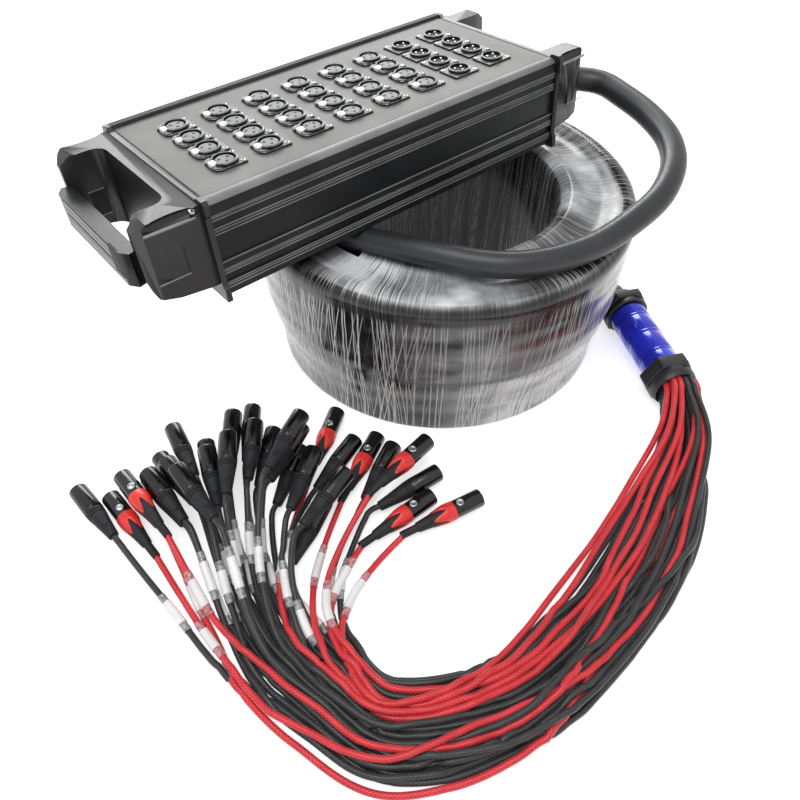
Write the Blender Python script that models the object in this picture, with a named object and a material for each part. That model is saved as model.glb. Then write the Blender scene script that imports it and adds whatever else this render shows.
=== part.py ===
"""Multicore audio cable: a stage box that lies on its wound cable, with the breakout and its 32 tails.

Metres, +Z up. X runs along the stage box from its handle to its cable end. The origin is on the floor,
under the middle of everything but the loose cables.
"""
import math

import bmesh
import bpy
import numpy
from mathutils import Matrix, Vector

CLEARANCE = 0.0003

# Multicore cable and its coil
CABLE_OD = 0.026
CABLE_REST_FLAT = 0.1 * CABLE_OD
COIL_CENTRE = Vector((0.0666, 0.0443, 0.0))
COIL_LAYERS = 7
COIL_PITCH = 0.0270
COIL_COLUMN_STEP = 0.0277
COIL_TOP_RADIUS = 0.1925
COIL_TAPER = 0.0160
COIL_FLOOR_RADIUS = COIL_TOP_RADIUS - COIL_TAPER
COIL_TAPER_LAYERS = 3.5
COIL_STEPS_PER_TURN = 24
COIL_VALLEY_DIP = 0.011
COIL_LEVEL_TURNS = 0.211
COIL_END_TURN = 8.5417
COIL_END_RISE = 0.008
COIL_RISE_TURNS = 0.17
COIL_START_ANGLE = math.radians(-26.0)
FLARE_REACH = 0.0360
FLARE_RADIUS = COIL_FLOOR_RADIUS + FLARE_REACH
FLARE_TURNS = 0.30
CORE_WALL_IN = 0.0131
CORE_INNER_RADIUS = COIL_TOP_RADIUS - 2 * COIL_COLUMN_STEP - CORE_WALL_IN

# Film round the coil
FILM_THICKNESS = 0.0007
FILM_SLACK = 0.0012
FILM_HEM = 0.0008
NOTCH_MARGIN = 0.0275

# Stage box
BOX_LENGTH = 0.400
BOX_WIDTH = 0.190
BOX_HEIGHT = 0.090
BOX_TILT = math.radians(-4.365)
BOX_CENTRE = Vector((-0.0815, 0.0617))
BOX_SIDE_SHIFT = 0.002
BOX_EDGE_RADIUS = 0.008
PANEL_THICKNESS = 0.003
PANEL_END_GAP = 0.00075
PANEL_LENGTH = BOX_LENGTH - 2 * PANEL_END_GAP
PANEL_MARGIN = 0.010
RAIL_HEIGHT = 0.003

# Sockets
SOCKET_COLUMNS = 8
FEMALE_COLUMNS = 6
SOCKET_ROWS = 4
COLUMN_PITCH = 0.0445
ROW_PITCH = 0.030
SOCKET_PLATE_LENGTH = 0.031
SOCKET_PLATE_WIDTH = 0.026
SOCKET_PLATE_THICKNESS = 0.0018
SOCKET_PLATE_CORNER = 0.007
FEMALE_RING_RADIUS = 0.012
MALE_RING_RADIUS = 0.011
RING_HEIGHT = 0.0045
RING_WALL = 0.0024
INSERT_DEPTH = 0.0012
BOWL_DEPTH = 0.0039
RING_SIDES = 10
LATCH_LENGTH = 0.007
LATCH_WIDTH = 0.009
LATCH_EDGE_X = -0.0150
LATCH_POCKET_DEPTH = 0.0062
LATCH_TRAVEL = 0.0015
LATCH_CHAMFER = 0.0008

# End caps
CAP_PLATE = 0.005
CAP_HALF_WIDTH = 0.098
CAP_TOP = 0.003
CAP_BOTTOM = -0.0925
CAP_EAR = 0.012
ARM_REACH = 0.055
ARM_OUTER = 0.090
ARM_WALL = 0.025
ARM_TOP = -0.001
ARM_BOTTOM = -0.077
HAND_GAP_START = 0.015
HAND_GAP_CORNER = 0.012
BAR_REACH = 0.066
BAR_WIDTH = 0.015
BAR_TOP = -0.028
BAR_BOTTOM = -0.060

# Sides of the round fittings
ROUND_SIDES = 16

# Cable gland
GLAND_Y = -0.045
GLAND_Z = -0.045
GLAND_NUT_FLATS = 0.038
GLAND_NUT_LENGTH = 0.011
GLAND_DOME_LENGTH = 0.012
GLAND_SPIGOT_RADIUS = 0.0175
GLAND_BORE_DEPTH = 0.018
GLAND_TIP = BOX_LENGTH / 2 + CAP_PLATE + GLAND_NUT_LENGTH + GLAND_DOME_LENGTH

# Breakout
NUT_FLATS = 0.052
INLET_START = 0.058
INLET_LENGTH = 0.030
INLET_DOME = 0.012
SLEEVE_LENGTH = 0.093
SLEEVE_OD = 0.043
SPIGOT_OD = 0.037
SPIGOT_LENGTH = 0.012
OUTLET_LENGTH = 0.029
OUTLET_MOUTH_RADIUS = 0.0238
DISC_LENGTH = 0.012

# Tails
TAIL_OD = 0.006
TAIL_GAP = 0.0005
ROOT_PITCH = 0.0068
ROOT_GRID = 6
LANE_PITCH = 0.0075
LAYER_PITCH = 0.0067
FLOOR_GAP = 0.0004
PLUG_OD = 0.0190
PLUG_LENGTH = 0.072
PLUG_BOOT = 0.030
PLUG_SIDES = 8
BOOT_END_OD = 0.0105
BOOT_SHOULDER_OD = 0.0170
RETURN_SHELL_OD = 0.0186
RETURN_RING_OD = 0.0194
RETURN_RING_END = 0.041
RETURN_SIDES = 8
PLUG_STRAIGHT = 0.014
PLUG_LEVELS = (0.0100, 0.0298, 0.0496)
PLUG_LATCH_OD = 0.0080
PLUG_LATCH_HEIGHT = 0.0030
PLUG_LATCH_PROUD = 0.0008
PLUG_LATCH_FROM_TIP = 0.024


def clear_scene():
    for thing in list(bpy.data.objects):
        bpy.data.objects.remove(thing, do_unlink=True)


def make_collection(name):
    collection = bpy.data.collections.new(name)
    bpy.context.scene.collection.children.link(collection)
    return collection


def make_material(name, colour, roughness, metallic=0.0):
    material = bpy.data.materials.new(name)
    material.use_nodes = True
    shader = material.node_tree.nodes["Principled BSDF"]
    shader.inputs["Base Color"].default_value = (*colour, 1.0)
    shader.inputs["Roughness"].default_value = roughness
    shader.inputs["Metallic"].default_value = metallic
    return material


clear_scene()
PARTS = make_collection("multicore_audio_cable")
CUTTERS = make_collection("cutters")
ALUMINIUM = make_material("anodised_grey", (0.17, 0.17, 0.18), 0.45, 0.7)
PANEL_GREY = make_material("panel_grey", (0.20, 0.20, 0.21), 0.5, 0.5)
CAP_BLACK = make_material("cap_black", (0.02, 0.02, 0.02), 0.5)
LATCH_SILVER = make_material("latch_silver", (0.75, 0.75, 0.75), 0.25, 1.0)
JACKET = make_material("jacket_black", (0.03, 0.03, 0.035), 0.55)
FILM = make_material("stretch_film", (0.35, 0.35, 0.37), 0.2)
SLEEVE_BLUE = make_material("sleeve_blue", (0.01, 0.12, 0.55), 0.25)
NUT_BLACK = make_material("nut_black", (0.02, 0.02, 0.02), 0.35)
TAIL_BLACK = make_material("tail_black", (0.02, 0.02, 0.02), 0.5)
TAIL_RED = make_material("tail_red", (0.6, 0.02, 0.03), 0.45)


def add_object(name, mesh, material, parent=None, location=(0, 0, 0)):
    thing = bpy.data.objects.new(name, mesh)
    PARTS.objects.link(thing)
    if material is not None:
        thing.data.materials.clear()
        thing.data.materials.append(material)
    thing.parent = parent
    thing.location = location
    return thing


def add_empty(name, location, rotation=(0, 0, 0)):
    empty = bpy.data.objects.new(name, None)
    PARTS.objects.link(empty)
    empty.location = location
    empty.rotation_euler = rotation
    return empty


def curve_to_mesh(curve, name, matrix):
    """The curve's evaluated mesh with its caps welded, moved by the matrix."""
    holder = bpy.data.objects.new(name + "_curve", curve)
    PARTS.objects.link(holder)
    bpy.context.view_layer.update()
    graph = bpy.context.evaluated_depsgraph_get()
    mesh = bpy.data.meshes.new_from_object(holder.evaluated_get(graph))
    mesh.name = name
    bpy.data.objects.remove(holder, do_unlink=True)
    shape = bmesh.new()
    shape.from_mesh(mesh)
    bmesh.ops.remove_doubles(shape, verts=shape.verts, dist=0.00001)
    bmesh.ops.transform(shape, matrix=matrix, verts=shape.verts)
    bmesh.ops.recalc_face_normals(shape, faces=shape.faces)
    shape.to_mesh(mesh)
    shape.free()
    return mesh


def plate_mesh(name, outline, start, end, axes=Matrix.Identity(4)):
    """A flat outline in X and Y, extruded from start to end along Z, then turned by axes."""
    curve = bpy.data.curves.new(name, "CURVE")
    curve.dimensions = "2D"
    curve.fill_mode = "BOTH"
    curve.extrude = abs(end - start) / 2
    spline = curve.splines.new("POLY")
    spline.points.add(len(outline) - 1)
    for point, (x, y) in zip(spline.points, outline):
        point.co = (x, y, 0, 1)
    spline.use_cyclic_u = True
    return curve_to_mesh(curve, name, axes @ Matrix.Translation((0, 0, (start + end) / 2)))


def tube_mesh(name, points, radius, resolution):
    """A round tube through the points, with filled ends."""
    curve = bpy.data.curves.new(name, "CURVE")
    curve.dimensions = "3D"
    curve.bevel_depth = radius
    curve.bevel_resolution = resolution
    curve.use_fill_caps = True
    spline = curve.splines.new("POLY")
    spline.points.add(len(points) - 1)
    for point, place in zip(spline.points, points):
        point.co = (*place, 1)
    return curve_to_mesh(curve, name, Matrix.Identity(4))


def turned_mesh(name, profile, sides, matrix=Matrix.Identity(4), phase=0.0):
    """A profile of (radius, height) pairs turned about Z. A radius of zero closes it."""
    shape = bmesh.new()
    rings = []
    for radius, height in profile:
        if radius == 0:
            rings.append([shape.verts.new((0, 0, height))])
            continue
        ring = []
        for index in range(sides):
            angle = phase + 2 * math.pi * index / sides
            ring.append(shape.verts.new((radius * math.cos(angle), radius * math.sin(angle), height)))
        rings.append(ring)
    closed = profile[0][0] > 0
    pairs = list(zip(rings, rings[1:] + (rings[:1] if closed else [])))
    if not closed:
        pairs = pairs[:len(rings) - 1]
    for low, high in pairs:
        for index in range(sides):
            following = (index + 1) % sides
            corners = [low[index % len(low)], low[following % len(low)],
                       high[following % len(high)], high[index % len(high)]]
            unique = list(dict.fromkeys(corners))
            if len(unique) > 2:
                shape.faces.new(unique)
    bmesh.ops.transform(shape, matrix=matrix, verts=shape.verts)
    bmesh.ops.recalc_face_normals(shape, faces=shape.faces)
    mesh = bpy.data.meshes.new(name)
    shape.to_mesh(mesh)
    shape.free()
    return mesh


def box_mesh(name, low, high, chamfer=0.0):
    """A box between two corners, its top face drawn in by the chamfer."""
    shape = bmesh.new()
    bmesh.ops.create_cube(shape, size=1.0)
    low, high = Vector(low), Vector(high)
    for vertex in shape.verts:
        share = [vertex.co[axis] + 0.5 for axis in range(3)]
        place = [low[axis] + share[axis] * (high[axis] - low[axis]) for axis in range(3)]
        if chamfer and share[2] > 0.5:
            place[0] += chamfer * (1 - 2 * share[0])
            place[1] += chamfer * (1 - 2 * share[1])
        vertex.co = place
    mesh = bpy.data.meshes.new(name)
    shape.to_mesh(mesh)
    shape.free()
    return mesh


def merged_mesh(name, meshes):
    """Several closed meshes side by side in one, as an operand for a Boolean."""
    shape = bmesh.new()
    for mesh in meshes:
        shape.from_mesh(mesh)
    bmesh.ops.recalc_face_normals(shape, faces=shape.faces)
    mesh = bpy.data.meshes.new(name)
    shape.to_mesh(mesh)
    shape.free()
    return mesh


def combine(thing, operation, mesh, overlapping=False):
    """A Boolean of the object with a mesh in the object's own space."""
    cutter = bpy.data.objects.new(thing.name + "_" + operation.lower(), mesh)
    CUTTERS.objects.link(cutter)
    cutter.parent = thing.parent
    cutter.location = thing.location
    cutter.rotation_euler = thing.rotation_euler
    cutter.hide_render = True
    cutter.display_type = "WIRE"
    modifier = thing.modifiers.new(operation.lower(), "BOOLEAN")
    modifier.operation = operation
    modifier.object = cutter
    modifier.use_self = overlapping


def arc(centre, radius, start, end, count):
    """Points on an arc, angles in degrees."""
    points = []
    for index in range(count + 1):
        angle = math.radians(start + (end - start) * index / count)
        points.append((centre[0] + radius * math.cos(angle), centre[1] + radius * math.sin(angle)))
    return points


def smoothstep(value):
    value = min(max(value, 0.0), 1.0)
    return value * value * (3 - 2 * value)


def smooth_route(points, step):
    """Points about one step apart on a smooth curve through the given points."""
    places = [Vector(point) for point in points]
    padded = [2 * places[0] - places[1]] + places + [2 * places[-1] - places[-2]]
    route = [places[0]]
    for before, start, end, after in zip(padded, padded[1:], padded[2:], padded[3:]):
        count = max(1, round((end - start).length / step))
        for index in range(1, count + 1):
            share = index / count
            leaving, arriving = (end - before) / 2, (after - start) / 2
            route.append(hermite(start, leaving, end, arriving, share))
    return route


def hermite(start, leaving, end, arriving, share):
    square, cube = share * share, share ** 3
    return ((2 * cube - 3 * square + 1) * start + (cube - 2 * square + share) * leaving
            + (3 * square - 2 * cube) * end + (cube - square) * arriving)


def union_mesh(name, base, addition, operation="UNION"):
    """The evaluated Boolean of two meshes, as a mesh."""
    holder = bpy.data.objects.new(name, base)
    other = bpy.data.objects.new(name + "_other", addition)
    for thing in (holder, other):
        CUTTERS.objects.link(thing)
    modifier = holder.modifiers.new("join", "BOOLEAN")
    modifier.operation = operation
    modifier.object = other
    bpy.context.view_layer.update()
    graph = bpy.context.evaluated_depsgraph_get()
    mesh = bpy.data.meshes.new_from_object(holder.evaluated_get(graph))
    for thing in (holder, other):
        bpy.data.objects.remove(thing, do_unlink=True)
    return mesh


def frame_along(place, direction):
    """A matrix whose Z axis is the direction and whose Y axis is level."""
    forward = Vector(direction).normalized()
    side = Vector((0, 0, 1)).cross(forward).normalized()
    turned = Matrix((side.cross(forward), side, forward)).transposed()
    return Matrix.Translation(place) @ turned.to_4x4()


def on_plan(x, y, z=0.0):
    """A place given from the coil's centre."""
    return COIL_CENTRE + Vector((x, y, z))


# Heights of the coil, from the floor up
COIL_FLOOR_Z = CABLE_OD / 2 - CABLE_REST_FLAT
COIL_TOP_Z = COIL_FLOOR_Z + (COIL_LAYERS - 1) * COIL_PITCH
RIM_TOP = COIL_TOP_Z + CABLE_OD / 2 + CLEARANCE + FILM_THICKNESS


def column_radius(layer):
    """The outer column's radius, drawn in towards the floor."""
    share = smoothstep(layer / COIL_TAPER_LAYERS)
    lower = COIL_FLOOR_RADIUS + (COIL_TOP_RADIUS - 0.004 - COIL_FLOOR_RADIUS) * share
    return lower + 0.004 * layer / (COIL_LAYERS - 1)


def winding_place(turn):
    """Radius and height of the cable's axis after a number of turns from the flare."""
    top_turn = COIL_LAYERS - 1
    climbed = max(turn - COIL_LEVEL_TURNS, 0.0)
    whole = math.floor(climbed)
    layer = min(whole + smoothstep((climbed - whole - 2 / 3) * 3), top_turn)
    radius = column_radius(layer)
    height = COIL_FLOOR_Z + layer * COIL_PITCH
    if turn < FLARE_TURNS:
        radius += (FLARE_RADIUS - COIL_FLOOR_RADIUS) * (1 - smoothstep(turn / FLARE_TURNS))
    first = smoothstep((climbed - top_turn - 1 / 3) * 3)
    second = smoothstep((climbed - top_turn - 4 / 3) * 3)
    radius -= COIL_COLUMN_STEP * (first + second)
    height -= COIL_VALLEY_DIP * (first ** 2 - second)
    height += COIL_END_RISE * smoothstep(1 - (COIL_END_TURN - turn) / COIL_RISE_TURNS)
    return radius, height


def winding_point(turn):
    radius, height = winding_place(turn)
    angle = COIL_START_ANGLE + 2 * math.pi * turn
    return on_plan(radius * math.cos(angle), radius * math.sin(angle), height)


def winding_points():
    count = round(COIL_END_TURN * COIL_STEPS_PER_TURN)
    return [winding_point(COIL_END_TURN * index / count) for index in range(count + 1)]


def nearest_points(starts, ends):
    """For every pair of segments: the share along the first, and the vector between nearest points."""
    way = ends - starts
    offset = starts[:, None] - starts[None]
    long_sq = (way * way).sum(axis=1)
    a, c = long_sq[:, None], long_sq[None]
    b = way @ way.T
    d = (way[:, None] * offset).sum(axis=2)
    e = (way[None] * offset).sum(axis=2)
    spread = numpy.maximum(a * c - b * b, 1e-18)
    share = numpy.clip((b * e - c * d) / spread, 0, 1)
    other = numpy.clip((b * share + e) / c, 0, 1)
    share = numpy.clip((b * other - d) / a, 0, 1)
    between = offset + way[:, None] * share[..., None] - way[None] * other[..., None]
    return share, between


def print_least_gap(points):
    """Print the wound cable's least gap to itself, half a turn or more along it."""
    places = numpy.array(points)
    between = nearest_points(places[:-1], places[1:])[1]
    gaps = numpy.linalg.norm(between, axis=2)
    index = numpy.arange(len(places) - 1)
    apart = numpy.abs(index[:, None] - index[None]) >= COIL_STEPS_PER_TURN // 2
    print("multicore_coil least gap to itself:", round((gaps[apart].min() - CABLE_OD) * 1000, 2), "mm")


# Breakout line: a straight line on the floor that meets the coil's first turn at a tangent
FLARE_DIRECTION = Vector((-math.sin(COIL_START_ANGLE), math.cos(COIL_START_ANGLE), 0))
BREAKOUT_DIRECTION = -FLARE_DIRECTION
BREAKOUT_Z = NUT_FLATS / 2


def breakout_place(distance, height=BREAKOUT_Z):
    tangent_point = on_plan(FLARE_RADIUS * math.cos(COIL_START_ANGLE), FLARE_RADIUS * math.sin(COIL_START_ANGLE))
    return tangent_point + BREAKOUT_DIRECTION * distance + Vector((0, 0, height))


def build_coil():
    """The wound cable: a straight lead from the breakout, seven turns up, then two turns inwards."""
    lead_end = INLET_START + INLET_LENGTH - 0.014
    lead = [breakout_place(lead_end), breakout_place(lead_end - CABLE_OD),
            breakout_place(0.020, COIL_FLOOR_Z + 0.005)]
    wound = winding_points()
    print_least_gap(wound)
    points = lead + wound
    coil = add_object("multicore_coil", tube_mesh("multicore_coil", points, CABLE_OD / 2, 1), JACKET)
    floor_cut = box_mesh("coil_floor_cut", (-1, -1, -0.1), (1, 1, 0.0))
    combine(coil, "DIFFERENCE", floor_cut)
    return wound[-1], (wound[-1] - wound[-2]).normalized()


def build_core():
    """The plain body of inner turns that the outer layer of turns is wound over."""
    gap = CABLE_OD / 2 + CLEARANCE + 0.0010
    inner_top = COIL_TOP_Z - CABLE_OD / 2 - CLEARANCE
    valley_top = inner_top - COIL_VALLEY_DIP
    profile = [(column_radius(0) - gap, 0.0)]
    for layer in (1, 2, 4):
        profile.append((column_radius(layer - 0.5) - gap, COIL_FLOOR_Z + (layer - 0.5) * COIL_PITCH))
    profile.append((column_radius(COIL_LAYERS - 2) - gap, valley_top))
    profile.append((CORE_INNER_RADIUS, valley_top))
    profile.append((CORE_INNER_RADIUS, 0.0))
    mesh = turned_mesh("coil_core", profile, COIL_STEPS_PER_TURN, phase=COIL_START_ANGLE)
    core = add_object("coil_core", mesh, JACKET)
    core.location = COIL_CENTRE


def film_profile():
    """The film's outer face from hem to hem: outer side, rim, valley, inner rim and bore."""
    reach = CABLE_OD / 2 + FILM_SLACK + FILM_THICKNESS
    top = RIM_TOP
    valley = top - 0.4 * COIL_VALLEY_DIP
    middle_radius = COIL_TOP_RADIUS - COIL_COLUMN_STEP
    inner_radius = COIL_TOP_RADIUS - 2 * COIL_COLUMN_STEP
    profile = [(column_radius(0) + reach, FILM_HEM)]
    for layer in (1.5, 3.5):
        profile.append((column_radius(layer) + reach, COIL_FLOOR_Z + layer * COIL_PITCH))
    profile += [(COIL_TOP_RADIUS + reach, COIL_TOP_Z), (COIL_TOP_RADIUS + 0.8 * reach, top - 0.0035),
                (COIL_TOP_RADIUS + 0.2 * reach, top), (COIL_TOP_RADIUS - 0.0085, top),
                (middle_radius + 0.0065, valley), (middle_radius - 0.0065, valley),
                (inner_radius + 0.0085, top), (inner_radius - 0.2 * reach, top),
                (inner_radius - 0.8 * reach, top - 0.0035), (inner_radius - reach, COIL_TOP_Z),
                (CORE_INNER_RADIUS - FILM_SLACK - FILM_THICKNESS, FILM_HEM)]
    return profile


def wedge_mesh(name, start, end, inner, outer, low, high):
    """A sector of a ring between two angles in degrees, for cutting the film."""
    count = max(2, round((end - start) / 10))
    outline = arc((0, 0), outer, start, end, count) + arc((0, 0), inner, end, start, count)
    return plate_mesh(name, outline, low, high)


def build_film():
    outer = film_profile()
    inner = []
    for index, (radius, height) in enumerate(outer):
        before = Vector(outer[max(index - 1, 0)])
        after = Vector(outer[min(index + 1, len(outer) - 1)])
        along = (after - before).normalized()
        inward = Vector((-along.y, along.x))
        place = Vector((radius, height)) + inward * FILM_THICKNESS
        if index in (0, len(outer) - 1):
            place.y = height
        inner.append((place.x, place.y))
    mesh = turned_mesh("film_wrap", outer + inner[::-1], COIL_STEPS_PER_TURN, phase=COIL_START_ANGLE)
    film = add_object("film_wrap", mesh, FILM)
    film.location = COIL_CENTRE
    flare_notch = wedge_mesh("flare_notch", -45, 90, COIL_FLOOR_RADIUS - 0.0115, FLARE_RADIUS + NOTCH_MARGIN,
                             -0.01, CABLE_OD + 0.001)
    end_notch = wedge_mesh("end_notch", 104, 234, CORE_INNER_RADIUS - 0.024, COIL_TOP_RADIUS - 0.0355,
                           COIL_TOP_Z - CABLE_OD / 2 - 0.002, RIM_TOP + 2 * CABLE_OD)
    combine(film, "DIFFERENCE", merged_mesh("film_notches", [flare_notch, end_notch]))


# Stage box: everything below is in the box's own frame, level with the socket panel
X_UP = Matrix(((0, 0, 1, 0), (1, 0, 0, 0), (0, 1, 0, 0), (0, 0, 0, 1)))
Y_UP = Matrix(((1, 0, 0, 0), (0, 0, -1, 0), (0, 1, 0, 0), (0, 0, 0, 1)))


def box_origin():
    """The panel's centre, with the far corner of the cap's foot just clear of the film's rim."""
    foot_drop = CAP_HALF_WIDTH * math.sin(-BOX_TILT) - CAP_BOTTOM * math.cos(BOX_TILT)
    return on_plan(BOX_CENTRE.x, BOX_CENTRE.y, RIM_TOP + CLEARANCE + foot_drop)


BOX_ORIGIN = box_origin()
BOX_MATRIX = Matrix.Translation(BOX_ORIGIN) @ Matrix.Rotation(BOX_TILT, 4, "X")


def underside_height(y):
    """Height of the box's underside at a distance y from the coil's centre."""
    corner = BOX_MATRIX @ Vector((0, 0, -BOX_HEIGHT))
    return corner.z + (COIL_CENTRE.y + y - corner.y) * math.tan(BOX_TILT)


def side_profile():
    """The extrusion's side from the bottom edge up: distance in from the side, and height."""
    return [(0.006, -0.090), (0.001, -0.088), (0.000, -0.086), (0.000, -0.078), (0.003, -0.0775), (0.003, -0.068),
            (0.000, -0.0675), (0.000, -0.060), (0.0015, -0.0595), (0.0015, -0.057), (0.0025, -0.0565),
            (0.0025, -0.034), (0.0005, -0.0335), (0.0005, -0.031), (0.000, -0.0305), (0.000, -0.0285),
            (0.0006, -0.0275), (0.000, -0.0265), (0.000, -0.024), (0.0012, -0.0235), (0.0012, -0.0155),
            (0.000, -0.015), (0.000, -0.0135), (0.0008, -0.0125), (0.000, -0.0115), (0.000, -0.009)]


def build_housing(box):
    """One extrusion: banded sides, rounded top edges, a bed for the panel and a rail at the far side."""
    half = BOX_WIDTH / 2
    bed = half - PANEL_MARGIN
    rounding = arc((-half + BOX_EDGE_RADIUS, -BOX_EDGE_RADIUS), BOX_EDGE_RADIUS, 180, 90, 4)
    near = [(-half + inset, height) for inset, height in side_profile()] + rounding
    near += [(-bed, 0.0), (-bed, -PANEL_THICKNESS - CLEARANCE)]
    raised = [(x, y + RAIL_HEIGHT if y > -BOX_EDGE_RADIUS - 0.0001 else y) for x, y in near[:-1]] + near[-1:]
    far = [(-x, y) for x, y in raised]
    outline = near + far[::-1]
    outline = [(x + BOX_SIDE_SHIFT, y) for x, y in outline]
    mesh = plate_mesh("housing", outline, -BOX_LENGTH / 2, BOX_LENGTH / 2, X_UP)
    add_object("housing", mesh, ALUMINIUM, box)


def socket_places():
    for column in range(SOCKET_COLUMNS):
        for row in range(SOCKET_ROWS):
            x = (column - (SOCKET_COLUMNS - 1) / 2) * COLUMN_PITCH
            y = ((SOCKET_ROWS - 1) / 2 - row) * ROW_PITCH
            yield column, row, x, y


def socket_plate_outline(x, y, rounded):
    """A plate whose two corners on the latch side are rounded on a female socket."""
    half_x, half_y = SOCKET_PLATE_LENGTH / 2, SOCKET_PLATE_WIDTH / 2
    outline = [(half_x, -half_y), (half_x, half_y)]
    if rounded:
        radius = SOCKET_PLATE_CORNER
        outline += arc((-half_x + radius, half_y - radius), radius, 90, 180, 2)
        outline += arc((-half_x + radius, -half_y + radius), radius, 180, 270, 2)
    else:
        outline += [(-half_x, half_y), (-half_x, -half_y)]
    return [(x + u, y + v) for u, v in outline]


def socket_mesh(x, y, female):
    sunk = -0.0008
    radius = FEMALE_RING_RADIUS if female else MALE_RING_RADIUS
    floor = RING_HEIGHT - (INSERT_DEPTH if female else BOWL_DEPTH)
    profile = [(0, sunk), (radius, sunk), (radius, RING_HEIGHT), (radius - RING_WALL, RING_HEIGHT),
               (radius - RING_WALL, floor), (0, floor)]
    ring = turned_mesh("ring", profile, RING_SIDES, Matrix.Translation((x, y, 0)), math.pi / RING_SIDES)
    plate = plate_mesh("plate", socket_plate_outline(x, y, female), sunk / 2, SOCKET_PLATE_THICKNESS)
    return plate, ring


def latch_name(column, row):
    return "latch_{}_{}".format(column + 1, row + 1)


def build_panel(box):
    """The socket panel with the shells of its 32 sockets, and a pocket for each push latch."""
    half_y = BOX_WIDTH / 2 - PANEL_MARGIN - CLEARANCE
    half_x = PANEL_LENGTH / 2
    low = (-half_x, BOX_SIDE_SHIFT - half_y, -PANEL_THICKNESS)
    panel = add_object("socket_panel", box_mesh("socket_panel", low, (half_x, BOX_SIDE_SHIFT + half_y, 0)),
                       PANEL_GREY, box)
    plates, rings, pockets = [], [], []
    for column, row, x, y in socket_places():
        female = column < FEMALE_COLUMNS
        plate, ring = socket_mesh(x, y, female)
        plates.append(plate)
        rings.append(ring)
        if female:
            edge, half = x + LATCH_EDGE_X, LATCH_WIDTH / 2 + CLEARANCE
            low = (edge - CLEARANCE, y - half, RING_HEIGHT - LATCH_POCKET_DEPTH)
            high = (edge + LATCH_LENGTH + CLEARANCE, y + half, RING_HEIGHT + 0.002)
            pockets.append(box_mesh("pocket", low, high))
            build_latch(box, column, row, edge + LATCH_LENGTH / 2, y)
    combine(panel, "UNION", merged_mesh("socket_plates", plates))
    combine(panel, "UNION", merged_mesh("socket_rings", rings))
    combine(panel, "DIFFERENCE", merged_mesh("latch_pockets", pockets))


def build_latch(box, column, row, x, y):
    """A push tab that travels down into its pocket. Its origin is on the line that it moves along."""
    depth = LATCH_POCKET_DEPTH - LATCH_TRAVEL - CLEARANCE
    half_x, half_y = LATCH_LENGTH / 2, LATCH_WIDTH / 2
    mesh = box_mesh(latch_name(column, row), (-half_x, -half_y, -depth), (half_x, half_y, 0), LATCH_CHAMFER)
    add_object(latch_name(column, row), mesh, LATCH_SILVER, box, (x, y, RING_HEIGHT))


def cap_meshes(with_bar):
    """The end cap's shapes at the cable end: flange plate, web with arms, arm side shape and grip bar."""
    face = BOX_LENGTH / 2 + CLEARANCE
    outside = face + CAP_PLATE
    root = outside - 0.003
    web = outside + (HAND_GAP_START if with_bar else 0.0)
    tip = outside + ARM_REACH - (0.0 if with_bar else 0.007)
    inner = ARM_OUTER - ARM_WALL
    corner = HAND_GAP_CORNER
    half = [(root, ARM_OUTER), (tip - 0.020, ARM_OUTER), (tip - 0.006, ARM_OUTER - 0.004),
            (tip, ARM_OUTER - 0.014), (tip, inner + 0.005), (tip - 0.016, inner)]
    half += arc((web + corner, inner - corner), corner, 90, 180, 3) if with_bar else [(web, inner)]
    plan = half + [(x, -y) for x, y in reversed(half)]
    arms = plate_mesh("arms", plan, ARM_BOTTOM - 0.01, ARM_TOP + 0.01)
    side = [(outside - 0.01, ARM_TOP), (tip - 0.010, ARM_TOP), (tip + 0.001, ARM_TOP - 0.009),
            (tip + 0.002, -0.047), (tip - 0.004, -0.071), (outside + 0.006, ARM_BOTTOM),
            (outside - 0.01, ARM_BOTTOM)]
    side_shape = plate_mesh("side_shape", side, -0.12, 0.12, Y_UP)
    bar = bar_mesh(tip, inner) if with_bar else None
    return flange_mesh(face, outside), arms, side_shape, bar


def flange_mesh(face, outside):
    """The plate over the extrusion's end, with an ear at each corner."""
    low, high, half = CAP_BOTTOM, CAP_TOP, CAP_HALF_WIDTH
    inset = 0.003
    outline = [(-half, low), (-half, low + CAP_EAR), (-half + inset, low + CAP_EAR + inset),
               (-half + inset, high - CAP_EAR - inset), (-half, high - CAP_EAR), (-half, high - 0.003),
               (-half + 0.003, high), (-half + CAP_EAR, high), (-half + CAP_EAR + inset, high - inset),
               (half - CAP_EAR - inset, high - inset), (half - CAP_EAR, high), (half - 0.003, high),
               (half, high - 0.003), (half, high - CAP_EAR), (half - inset, high - CAP_EAR - inset),
               (half - inset, low + CAP_EAR + inset), (half, low + CAP_EAR), (half, low)]
    return plate_mesh("flange", outline, face, outside, X_UP)


def bar_mesh(tip, inner):
    """The grip bar between the arms' tips."""
    reach = tip + BAR_REACH - ARM_REACH
    half = [(tip - 0.004, inner + 0.004), (reach - 0.006, inner + 0.007), (reach, inner - 0.002)]
    inside = [(reach - BAR_WIDTH, -inner + 0.004), (reach - BAR_WIDTH, inner - 0.004)]
    outline = half + [(x, -y) for x, y in reversed(half)] + inside
    return plate_mesh("grip_bar", outline, BAR_BOTTOM, BAR_TOP)


def build_cap(name, box, with_bar, turned):
    flange, arms, side_shape, bar = cap_meshes(with_bar)
    cap = add_object(name, arms, CAP_BLACK, box)
    cap.rotation_euler = (0, 0, math.pi if turned else 0)
    combine(cap, "INTERSECT", side_shape)
    if bar is not None:
        combine(cap, "UNION", bar)
    combine(cap, "UNION", flange)
    return cap


def hexagon_mesh(name, flats, start, end, matrix):
    corner = flats / math.sqrt(3)
    return plate_mesh(name, arc((0, 0), corner, 30, 330, 5), start, end, matrix)


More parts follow.
